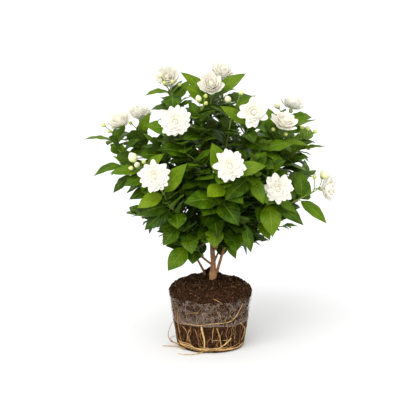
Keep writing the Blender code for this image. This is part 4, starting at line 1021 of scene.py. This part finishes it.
def bud(buds, greens, start, ahead, spot, radius, draw):
    """One bud: closed petals in a toothed cup, on a stalk that goes sideways first and then turns up."""
    away = unit(spot - start)
    reach = np.linalg.norm(spot - start)
    knee = start + 0.2 * reach * ahead + 0.45 * reach * away * (1.0, 1.0, 0.3)
    stalk = bend(start, knee, spot - 1.1 * radius * away, np.linspace(0, 1, 7)[:, None])[0]
    greens.tube(stalk, np.linspace(0.75, 0.62, 7), 6, tone=0.85)
    ripe = np.clip((radius - 1.7) / 2.6, 0.05, 1.0)
    grid = BIG_BUD_GRID if radius > 3.5 else BUD_GRID
    wound_egg(buds, spot, away, radius, *grid, (0.4 * ripe, 0.45 * ripe, ripe))
    calyx(greens, spot - 0.75 * radius * away, away, 0.62 * radius + 0.3, 1.2 + 0.75 * radius, 7, 0.25, draw)


# Wood

RING_AT = (3.6, 104.3, 5)
RING_SWELL = 0.7
# The trunk's radii at its foot, at the ring, at two heights above the ring and at its top, and its tones
TRUNK_FOOT = 80.0
TRUNK_ABOVE_RING = (4.0, 16.0)
TRUNK_TOP = 330.0
TRUNK_RADII = (5.5, 5.2, 4.7, 3.9, 2.5)
TRUNK_TONES = (0.95, 0.7, 0.55)
TWIG_DROP = 1.5
TWIG_TIP_R = 1.25


def bark(pile, points, radii, sides, step, tone, seed):
    """A woody stem: a smooth curve through its points, its radius roughened by noise drawn out along it.

    The radii and the tones are spread evenly over its length.
    """
    path = smooth_path(points, max(2, int(round(spans(points).mean() / step))))
    share = np.linspace(0, 1, len(path))
    radius = np.interp(share, np.linspace(0, 1, len(radii)), radii)
    turn = around(sides)
    cell = np.stack(np.broadcast_arrays(radius[:, None] * np.cos(turn), radius[:, None] * np.sin(turn),
                                        0.22 * run_to(path)[:, None]), axis=-1)
    rough = 1 + 0.09 * noise(cell, 1.5, seed) + 0.06 * noise(cell, 0.7, seed + 1)
    shade = np.interp(share, np.linspace(0, 1, len(tone)), tone)
    pile.tube(path, radius[:, None] * rough, sides, tone=shade, dome=0.6)


def trunk(pile, points):
    """The trunk: a scar ring at its foot, thick and pale below it, thinner and darker above."""
    line = smooth_path(points, 14)
    height = line[:, 2]
    ring = place(RING_AT)[2]
    stations = (TRUNK_FOOT, ring, *(ring + rise for rise in TRUNK_ABOVE_RING), TRUNK_TOP)
    radii = np.interp(height, stations, TRUNK_RADII) + RING_SWELL * np.exp(-((height - ring) / 0.8) ** 2)
    shade = np.interp(height, (ring, ring + 8, ring + 30), TRUNK_TONES)
    bark(pile, line, radii, 20, 1.0, shade, 0)


def rooted(path):
    """The points of a stem in the soil: its path, with a foot straight below it on the hole's floor."""
    points = placed(path)
    return np.vstack([(points[0][0], points[0][1], HOLE_FLOOR), points])


def wood(starts, finish):
    """The woody stems, with a twig to the start of each leafy stem from the place on them that suits best."""
    piles = {"wood": Pile(), "wood_left": Pile()}
    lines = [("wood", rooted(TRUNK)), ("wood_left", rooted(LOW_LEFT_STEM[2]))]
    lines += [("wood", placed(row[2])) for row in SIDE_STEMS]
    trunk(piles["wood"], lines[0][1])
    for k, (radius, end, path) in enumerate((LOW_LEFT_STEM, *SIDE_STEMS), 1):
        body, points = lines[k]
        bark(piles[body], points, np.linspace(radius, end, len(points)), 12, 2.2, (0.6, 0.45), k)
    carriers = []
    for body, points in lines:
        steps = [a + (b - a) * share for a, b in zip(points, points[1:]) for share in TWIG_FEET]
        carriers += [(body, a, unit(b - a)) for a, b in zip(steps[BARE_STEPS:], steps[BARE_STEPS + 1:])]

    def cost(carrier, start):
        return np.linalg.norm(start - carrier[1]) + TWIG_DROP * max(0.0, carrier[1][2] - start[2] + TWIG_RISE)

    for k, (start, heading) in enumerate(starts):
        body, foot, rise = min(carriers, key=lambda carrier: cost(carrier, start))
        span = np.linalg.norm(start - foot)
        knee = (foot + start) / 2 + TWIG_BOW * span * (rise - heading)
        knees = [knee] if span > TWIG_STRAIGHT else []
        path = np.array([foot] + knees + [start - TWIG_END * heading, start + 0.5 * heading])
        bark(piles[body], path, np.linspace(TWIG_R, TWIG_TIP_R, len(path)), 8, 3.5, (0.4,), 20 + k)
        lines.append((body, path))
    for body, pile in piles.items():
        pile.made(body + "_bark", finish, "bark", (body,))
    return lines


# Root ball

SOIL_COLUMNS = 220
SOIL_TOP_R = 62.0
SIDE_HIGH = 84.5
SIDE_LOW = 2.0
BASE_RADII = (48.3, 46.0, 36.0, 24.0, 12.0, 2.0)
# Noises that push the soil in and out: height, size, seed
SOIL_NOISES = ((1.5, 6.0, 3), (0.9, 2.8, 4), (0.5, 1.4, 5))
CRUMBS = 5200
LUMP_HEIGHT = 1.7
LUMP_SIZE = 13.0
FIBRES = 26
STRANDS = 60
RINGS = 11
FIBRE_STEP = 3.2
FIBRE_REACH = 58.0
FIBRE_LIMIT = 60.5
FILM_GRID = (44, 300)
FILM_STAND = 1.1
FILM_THICK = 0.3
HEM_THICKER = 0.2


def ball_radius(height):
    """The ball's radius at a height: a straight taper."""
    return BALL_BASE_R + (BALL_TOP_R - BALL_BASE_R) * height / BALL_HEIGHT


def soil_top(x, y):
    """The heap's height: flat with lumps, falling off at the rim by a high power, with a clump behind."""
    reach = np.hypot(x, y)
    spots = np.stack(np.broadcast_arrays(x, y, 0.0), axis=-1)[None]
    lumps = LUMP_HEIGHT * noise(spots, LUMP_SIZE, 6)[0] * np.clip((BALL_TOP_R + 1 - reach) / 5, 0, 1)
    clump = CLUMP_HEIGHT * np.exp(-0.5 * ((x - CLUMP_AT[0]) ** 2 + (y - CLUMP_AT[1]) ** 2) / CLUMP_SPREAD**2)
    return BALL_HEIGHT + MOUND_HEIGHT * (1 - (reach / BALL_TOP_R) ** MOUND_POWER) + clump + lumps


def on_heap(x, y, lift):
    """A point over (x, y), lifted off the heap."""
    return np.array((x, y, soil_top(x, y) + lift))


def on_side(turn, height, lift):
    """A point on the ball's side: at a turn in radians and a height, lifted off it."""
    reach = ball_radius(height) + lift
    return np.array((reach * math.cos(turn), reach * math.sin(turn), height))


def soil(finish):
    """The root ball: its outline turned round the axis, pushed along its normals by three noises."""
    top, side = np.linspace(1.0, SOIL_TOP_R, 60), np.linspace(SIDE_HIGH, SIDE_LOW, 72)
    base = np.array(BASE_RADII)
    radius = np.concatenate([top, ball_radius(side), base])[:, None]
    row = np.arange(len(radius))[:, None]
    turn = around(SOIL_COLUMNS)
    x, y = radius * np.cos(turn), radius * np.sin(turn)
    level = np.concatenate([0 * top, side, 0 * base])[:, None]
    z = np.where(row < len(top), soil_top(x, y), level)
    grid = np.stack([x, y, z], axis=-1)
    wrapped = np.concatenate([grid[:, -1:], grid, grid[:, :1]], axis=1)
    normal = unit(np.cross(np.gradient(grid, axis=0), np.gradient(wrapped, axis=1)[:, 1:-1]) + 1e-9)
    push = sum(lift * noise(grid, size, seed) for lift, size, seed in SOIL_NOISES)
    push = push * np.where(z < FILM_LOW, 0.5, 1.0)
    under_film = (z > FILM_LOW - 2) & (z < FILM_HIGH + 2) & (row >= len(top))
    push = np.where(under_film, np.minimum(push - 1.2, -0.3), push)
    push = np.where(row >= len(top) + len(side) - 2, 0.0, push)
    grid = grid + push[..., None] * normal
    count, ring = len(radius) * SOIL_COLUMNS, np.arange(SOIL_COLUMNS)
    thirds = np.concatenate([fan(count, ring), fan(count + 1, (ring + count - SOIL_COLUMNS)[::-1])])
    points = np.vstack([grid.reshape(-1, 3), (0, 0, grid[0, :, 2].mean()), (0, 0, 0)])
    pile = Pile()
    pile.add(points, grid_quads(len(radius), SOIL_COLUMNS, wrap=True)[:, ::-1], thirds, tone=0.2)
    pile.made("soil_ball", finish, "soil", ("root_ball",), smooth_within=180)


def grain():
    """The corners and faces of a grain with twenty sides, from three golden rectangles across each other."""
    golden = (1 + math.sqrt(5)) / 2
    corners = [(0, a, b * golden) for a in (-1, 1) for b in (-1, 1)]
    corners = unit([spot[k:] + spot[:k] for spot in corners for k in range(3)])
    near = np.linalg.norm(corners[:, None] - corners, axis=-1) < 1.1
    faces = [(a, b, c) for a, b, c in np.ndindex(12, 12, 12)
             if a < min(b, c) and near[a, b] and near[b, c] and near[c, a]
             and np.cross(corners[b] - corners[a], corners[c] - corners[a]) @ corners[a] > 0]
    return corners, faces


def crumbs(finish):
    """Loose crumbs on the heap, over its rim and on the bare side: lumpy grains, partly sunk in."""
    corners, faces = grain()
    draw = np.random.default_rng(7)
    pile = Pile()
    for k in range(CRUMBS):
        size = 0.75 + 1.25 * draw.uniform() ** 2.5
        turn = draw.uniform(0, 2 * math.pi)
        palest = 0.8
        if k % 80 == 0:
            size, palest = draw.uniform(1.8, 3.2), 0.0
            spot = on_heap(*(CLUMP_AT + draw.normal(0.0, 0.6 * CLUMP_SPREAD, 2)), 0.3 * size)
        elif k % 5 == 1:
            size = min(size, 1.6)
            spot = on_side(turn, draw.uniform(77.0, BALL_HEIGHT), -0.3 * size)
        elif k % 5:
            reach = SOIL_TOP_R * math.sqrt(draw.uniform(0.01, 1.0))
            spot = on_heap(reach * math.cos(turn), reach * math.sin(turn), 0.2 * size)
        else:
            spot = on_side(turn, draw.uniform(3.5, FILM_LOW - 3), -0.1 * size)
        shape = corners * draw.uniform(0.7, 1.2, (12, 1)) * draw.uniform(0.7, 1.2, 3) * size
        pile.add(shape + spot, (), faces, tone=palest * draw.uniform() ** 3)
    pile.made("soil_crumbs", finish, "soil", (), smooth_within=35)


def film(finish):
    """The film: a crumpled skin round the ball, ragged above, a thicker hem below, a painted highlight at its
    edge.
    """
    rows, columns = FILM_GRID
    turn = around(columns)
    circle = np.stack([np.cos(turn), np.sin(turn), 0 * turn], axis=-1)
    top = FILM_HIGH + 1.5 + 2.2 * noise(circle * 40, 9.0, 11) + 1.2 * noise(circle * 40, 3.0, 12)
    low = FILM_LOW + 0.9 * np.sin(3 * turn + 0.6) + 0.5 * np.sin(8 * turn)
    share = np.linspace(0, 1, rows)[:, None]
    height = top + (low - top) * share

    def skin_at(reach):
        return np.stack([reach * circle[:, 0], reach * circle[:, 1], height], axis=-1)

    spots = skin_at(ball_radius(height))
    folds = 1 - np.abs(noise(spots, 9.0, 13)) * 2
    folds = 0.8 * folds + 0.6 * noise(spots, 4.0, 14) + 0.3 * noise(spots, 2.0, 15)
    reach = ball_radius(height) + FILM_STAND + 0.9 * np.clip(folds, -0.6, 1.4)
    hem = np.clip((share - 0.8) / 0.06, 0, 1)
    ring = np.concatenate([skin_at(reach), skin_at(reach - FILM_THICK - HEM_THICKER * hem)[::-1]])
    quads = grid_quads(2 * rows + 1, columns, wrap=True)[:, (0, 3, 2, 1)] % (2 * rows * columns)
    # Lighter where it stands off and on the hem; the last term is a painted highlight along the lower edge.
    tone = 0.05 * folds + 0.1 * hem + 0.16 * np.clip((share - 0.95) / 0.03, 0, 1)
    pile = Pile()
    pile.add(ring.reshape(-1, 3), quads, tone=np.concatenate([tone, tone[::-1]]).ravel())
    pile.made("film_crumpled", finish, "film", ("film_sleeve",))


# Roots that stand off the ball: radius, tone, path as (x, y, z) in millimetres
LOOSE_ROOTS = (
    (1.0, 0.75, ((-38, -36, 3.2), (-50, -22, 2.4), (-62, -17, 1.4), (-74, -14, 1.1))),
    (0.9, 0.8, ((-10, -50.5, 3.0), (-20, -57, 1.6), (-34, -60, 1.1), (-49, -55, 1.0))),
    (0.8, 0.7, ((-50.5, -10, 3.6), (-60, -14, 8), (-64, -14, 18), (-61, -9, 30), (-56.6, -6, 37))),
    (0.7, 0.65, ((-47.6, -19.4, 3.6), (-58, -20, 10), (-60, -19, 15), (-52.2, -13, 16.5))),
)
# Roots that lie on the ball's front: radius, tone, lift off the ball, path as (across, up)
FRONT_ROOTS = (
    (1.6, 1.0, 1.2, ((-13.8, 24.6), (-11.8, 15.3), (-9.4, 5.5), (-8.9, -7.0))),
    (0.75, 0.7, 0.5, ((-29.4, 24), (-33.8, 14.3), (-34.8, 7.5), (-35.3, 0.7))),
    (0.7, 0.6, 0.5, ((-42.1, 26), (-36.7, 19.2), (-31.8, 5.5), (-28.9, -3.3))),
    (0.6, 0.55, 0.4, ((-23.1, 21), (-19.6, 10.4), (-18.2, 3.6), (-17.2, -4))),
    (0.75, 0.7, 0.5, ((4.8, 24), (3.3, 15.3), (2.8, 0.7))),
    (0.85, 0.75, 0.6, ((9.2, 23), (13.1, 12.3), (15.5, -0.3), (16, -8))),
    (0.6, 0.5, 0.4, ((34, 25), (35.5, 12.3), (36.5, -1.3))),
    (1.0, 0.8, 0.8, ((43.8, 31.8), (51.1, 23.1), (49.6, 14.3), (46.2, 4.5))),
    (1.0, 0.95, 1.2, ((31.1, 7.9), (21.9, -1.3), (14, -6.2), (8, -10))),
    (0.5, 0.85, 0.5, ((1.4, 4), (12.1, 4.6), (27.7, 4.4))),
    (0.5, 0.6, 0.5, ((24, -1), (31, -5), (36, -8))),
    (0.9, 0.95, 1.3, ((-47, 3.5), (-43.5, -0.3), (-31.8, -3.3), (-21.1, -7.4), (-7.4, -8.6), (8.2, -8.1),
                      (21.9, -8.8), (31.6, -7.6), (41.4, -4.6), (48.5, 1.6))),
    (0.75, 0.8, 2.0, ((-48, 5.5), (-43.5, 2.2), (-30.9, -1.3), (-23.1, -7.1), (-12, -10), (2, -10.6),
                      (18, -10.4), (33, -8.6))),
    (0.7, 0.6, 0.9, ((-50, 49.4), (-49.4, 36.8), (-49.2, 29.9), (-47.5, 20.2), (-45.5, 10.4), (-43.5, 1.6))),
    (0.6, 0.4, 1.7, ((-57.2, 61.1), (-53.8, 49.4), (-51.4, 36.8), (-50, 30))),
    (0.5, 0.35, 1.5, ((-20.6, 33.8), (-20.1, 45.5), (-13.3, 53.3), (-13.3, 59.2))),
    (0.45, 0.4, 1.6, ((-36.7, 44.6), (-25, 45.8), (-13.3, 45.5), (-5.5, 42.6), (0.4, 37.7), (5.3, 31.9))),
    (0.5, 0.45, 1.5, ((-38, 46), (-35, 38), (-33, 31))),
    (0.65, 0.75, 2.2, ((48.2, 60.2), (43.3, 49.4), (36.5, 38.7), (30.6, 33.3), (18, 30.4), (2.3, 29.4),
                     (-12.3, 27), (-21.1, 27.5), (-32.8, 28.9), (-42.6, 31.4))),
    (0.55, 0.7, 2.2, ((4.3, 66.5), (10.1, 64.1), (15, 61.2), (18.4, 58.2))),
    (0.5, 0.5, 1.6, ((12.6, 47.5), (15, 39.7), (16, 32.9))),
    (0.5, 0.45, 1.4, ((31, 52), (29, 44), (33, 37))),
)


def root(pile, points, radius, tone, sides=6, step=2.5, taper=0.5):
    """One root: a smooth curve through its points, thinner at its ends."""
    path = smooth_path(points, max(2, int(round(spans(points).mean() / step))))
    radii = radius * np.interp(np.linspace(0, 1, len(path)), (0, 0.12, 1), (taper, 1.0, taper))
    pile.tube(path, radii, sides, tone=tone)


def on_front(across, up, lift):
    """The point on the ball's front that is seen at (across, up), lifted off its side: found step by step."""
    deep = -BALL_BASE_R
    for _ in range(6):
        x, _, z = place((across, up, deep))
        reach = ball_radius(max(z, 1.5)) + lift
        x = float(np.clip(x, -reach, reach))
        deep = -math.sqrt(reach**2 - x**2)
    return np.array((x, deep, max(z, lift * 0.6 + 0.6)))


def roots(finish):
    """The root net: strands wandering down the side, a ring of them round the base, and loose ones."""
    pile = Pile()
    draw = np.random.default_rng(23)
    for k in range(STRANDS):
        turn = 2 * math.pi * (k + draw.uniform(0, 1)) / STRANDS
        top = draw.uniform(24, 78)
        low = draw.uniform(2.5, max(4.0, min(12.0, top - 14)))
        heights = np.linspace(top, low, 8)
        sway = np.cumsum(draw.uniform(-0.07, 0.07, 8))
        lift = np.where(heights > FILM_LOW, 0.3, 1.05) + draw.uniform(-0.25, 0.25, 8)
        path = [on_side(turn + a, h, b) for a, h, b in zip(sway, heights, lift)]
        root(pile, path, draw.uniform(0.25, 0.55), draw.uniform(0.2, 0.7), 5, 3.5)
    for k in range(RINGS):
        start = 2 * math.pi * k / RINGS + draw.uniform(-0.2, 0.2)
        span = draw.uniform(0.8, 2.4) * draw.choice((-1, 1))
        turns = start + np.linspace(0, span, 9)
        heights = np.maximum(1.4, draw.uniform(1.6, 9.0) + 2.4 * np.sin(np.linspace(0, 6, 9) + k))
        lift = draw.uniform(0.4, 1.2) + 0.4 * np.sin(np.linspace(0, 6, 9) + 2 * k)
        path = [on_side(a, h, b) for a, h, b in zip(turns, heights, lift)]
        root(pile, path, draw.uniform(0.3, 0.65), draw.uniform(0.4, 0.85))
    for radius, tone, lift, path in FRONT_ROOTS:
        root(pile, [on_front(across, up, lift) for across, up in path], radius, tone, 7, 2.0, 0.6)
    for radius, tone, path in LOOSE_ROOTS:
        root(pile, path, radius, tone, 6, 2.0, 0.4)
    pile.made("root_net", finish, "root", ("roots",))


def fibres(finish):
    """Short bits of root that lie on the heap: bent threads, each resting on it."""
    pile = Pile()
    draw = np.random.default_rng(31)
    for _ in range(FIBRES):
        turn = draw.uniform(0, 2 * math.pi)
        reach = FIBRE_REACH * math.sqrt(draw.uniform(0.05, 1.0))
        x, y = reach * math.cos(turn), reach * math.sin(turn)
        heading = draw.uniform(0, 2 * math.pi)
        path = []
        for _ in range(4):
            path.append(on_heap(x, y, draw.uniform(0.1, 0.9)))
            heading += draw.uniform(-0.9, 0.9)
            x, y = x + FIBRE_STEP * math.cos(heading), y + FIBRE_STEP * math.sin(heading)
            limit = min(1.0, FIBRE_LIMIT / math.hypot(x, y))
            x, y = x * limit, y * limit
        root(pile, path, draw.uniform(0.2, 0.42), draw.uniform(0.35, 0.9), 4, 1.6)
    pile.made("soil_fibres", finish, "root", ())


# The plant

def shoot(pile, path, knots):
    """A green stem: a smooth tube, swollen where its leaves stand, brown at its foot."""
    line = smooth_path(path, 7)
    share = np.linspace(0, 1, len(line))
    radius = np.interp(share, (0, 1), (STEM_R + 0.1, STEM_TIP_R))
    for knot in knots:
        radius = radius + 0.3 * np.exp(-(np.linalg.norm(line - knot, axis=1) / 2.0) ** 2)
    pile.tube(line, np.minimum(radius, 1.6), 9, tone=np.clip(0.15 + 1.1 * share, 0, 1))
    return line


def back_stems():
    """The stems of the unseen back, by rule: each goes out and up from inside the crown to its place."""
    made = {}
    for k, (turn, height, reach, form) in enumerate(BACK_STEMS, 1):
        angle = math.radians(turn)
        out = np.array((math.cos(angle), math.sin(angle), 0.0))
        tip = reach * out + height * UP
        rise = BACK_FOOT[2] + BACK_START * (height - BACK_FOOT[2])
        foot = BACK_START * reach * out + np.array((BACK_FOOT[0], BACK_FOOT[1], rise))
        points = np.array([foot, (foot + tip) / 2 + BACK_BOW * UP, tip])
        made[f"stem_back_{k}"] = {"points": points, "leaves": ()}
        if form:
            facing = unit(out + 0.5 * UP)
            made[f"stem_back_{k}"]["spot"] = (tip + BLOOM_STAND * facing, facing, form)
    return made


class LeafyStem:
    """One leafy stem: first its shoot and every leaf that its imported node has, then all that is added."""

    def __init__(self, name, row, index):
        self.name, self.row, self.index = name, row, index
        self.greens, self.leaves = Pile(), Pile()
        path = list(row["points"])
        path[0] = path[0] - 0.2 * unit(path[1] - path[0])
        if "spot" in row:
            centre, facing, _ = row["spot"]
            path += [centre - (BLOOM_BACK + NECK) * facing, centre - (BLOOM_BACK - 2) * facing]
        found = list(self.packed_leaves())
        self.line = shoot(self.greens, path, [one[0] for one in found])
        self.blades = [leaf(self.leaves, *one, np.random.default_rng([5, index, k]), self.line)
                       for k, one in enumerate(found)]

    def packed_leaves(self):
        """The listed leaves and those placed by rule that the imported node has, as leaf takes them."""
        corners = node_points(self.name)
        for at, end, width, front, arch, tone in self.row["leaves"]:
            root_at = along(self.row["points"], at)[0]
            tip = packed_tip(corners, root_at, place(end), HERO_SWING)
            if tip is not None:
                yield root_at, tip, width, unit((0.0, -front, 1.0)), arch, HERO_GRID, tone
        for root_at, end, width, normal in rule_leaves([self.index], self.row["points"]):
            tip = packed_tip(corners, root_at, end, RULE_SWING)
            if tip is not None:
                yield root_at, tip, width, normal, RULE_ARCH, RULE_GRID, leaf_tone(tip, *RULE_TONES)

    def finish(self, room, finishes):
        """Add the leaves that there is room for, the buds and the bloom, and make the pieces."""
        points, index, own = self.row["points"], self.index, self.name[5:]
        room.fill(self.leaves, points, self.line, index, (3, 6), FILL_TONES)
        if "spot" not in self.row and "buds" not in self.row:
            shoot_tip(self.leaves, points, self.line, index)
        buds = Pile()
        ahead = unit(points[-1] - points[-2])
        for k, (spot, radius) in enumerate(self.row.get("buds", ())):
            draw = np.random.default_rng([8, index, k])
            bud(buds, self.greens, points[-1], ahead, place(spot), radius + BUD_SWELL, draw)
        if "spot" in self.row:
            centre, facing, form = self.row["spot"]
            draw = np.random.default_rng([9, index])
            calyx(self.greens, centre + NECK_AT[0] * facing, facing, *BLOOM_CALYX, draw)
            petals = Pile()
            bloom(petals, form, centre, facing, index)
            petals.made("petals_" + own, finishes["petal"], "petal", ("bloom_" + own,))
        self.leaves.made("leaves_" + own, finishes["leaf"], "leaf", (self.name,))
        self.greens.made("shoot_" + own, finishes["shoot"], "calyx")
        if buds.count:
            buds.made("buds_" + own, finishes["bud"], "bud")


def inner_leaves(lines, room, finish):
    """Leaves on the woody stems inside the crown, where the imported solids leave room."""
    for body in ("wood", "wood_left"):
        pile = Pile()
        for index, (owner, points) in enumerate(lines):
            if owner == body:
                line = smooth_path(points, 6)
                room.fill(pile, points, line, index, (9, 12), INNER_TONES, INNER_ABOVE)
        pile.made("leaves_inner_" + body, finish, "leaf")


def plant():
    """Every piece of the plant: the wood, then stems with leaves, buds and blooms, then the inner leaves."""
    finishes = {"leaf": leaf_green(), "shoot": shoot_green(), "bud": bud_cream(), "petal": petal_white()}
    rows = {name: dict(row, points=placed(row["path"])) for name, row in LEAFY_STEMS.items()}
    for row in rows.values():
        if "bloom" in row:
            centre, facing, form = row["bloom"]
            row["spot"] = (place(centre), unit(facing), form)
    rows.update(back_stems())
    starts = [(row["points"][0], unit(row["points"][1] - row["points"][0])) for row in rows.values()]
    lines = wood(starts, bark_brown())
    stems = [LeafyStem(name, row, index) for index, (name, row) in enumerate(rows.items())]
    blades = [blade for stem in stems for blade in stem.blades]
    room = Room(blades)
    for stem in stems:
        stem.finish(room, finishes)
    inner_leaves(lines, room, finishes["leaf"])
    print("leaves matched", len(blades), "added", len(room.leaves))


# Light: brightness of the dome and of the key, how wide the key is in degrees, and where it comes from
DOME = 0.95
KEY = 1.8
KEY_SPREAD = 50.0
KEY_FROM = (-0.4, -1.1, 1.15)
SENSOR = 36.0
LENS = 150.0
FAR_CLIP = 100.0
FLOOR_SIZE = 60
FLOOR_DROP = 0.0002


def studio():
    """A pale floor under a white dome and one broad soft light, and the camera of the photograph's view."""
    bpy.ops.mesh.primitive_plane_add(size=FLOOR_SIZE, location=(0, 0, -FLOOR_DROP))
    floor = bpy.context.object
    floor.name = "floor"
    made, _, _, feed = started("matt white paper", 0.9, 0.0)
    feed(Base_Color=linear("#f4f4f4"))
    floor.data.materials.append(made)
    world = bpy.data.worlds.new("studio")
    world.use_nodes = True
    sky = world.node_tree.nodes["Background"].inputs
    sky["Color"].default_value = (1.0, 1.0, 1.0, 1.0)
    sky["Strength"].default_value = DOME
    bpy.context.scene.world = world
    bpy.context.scene.view_settings.view_transform = "Standard"
    lamp = bpy.data.lights.new("key", "SUN")
    lamp.energy = KEY
    lamp.angle = math.radians(KEY_SPREAD)
    holder = bpy.data.objects.new("key", lamp)
    holder.rotation_euler = Vector(KEY_FROM).to_track_quat("Z", "Y").to_euler()
    bpy.context.scene.collection.objects.link(holder)
    lens = bpy.data.cameras.new("camera")
    lens.sensor_width = SENSOR
    lens.lens = LENS
    lens.clip_end = FAR_CLIP
    camera = bpy.data.objects.new("camera", lens)
    camera.location = EYE * MM
    camera.rotation_euler = (math.radians(90) - VIEW_TILT, 0.0, 0.0)
    bpy.context.scene.collection.objects.link(camera)
    bpy.context.scene.camera = camera


plant()
potting_mix, root_skin = soil_brown(), root_tan()
soil(potting_mix)
crumbs(potting_mix)
film(clear_film())
roots(root_skin)
fibres(root_skin)
studio()
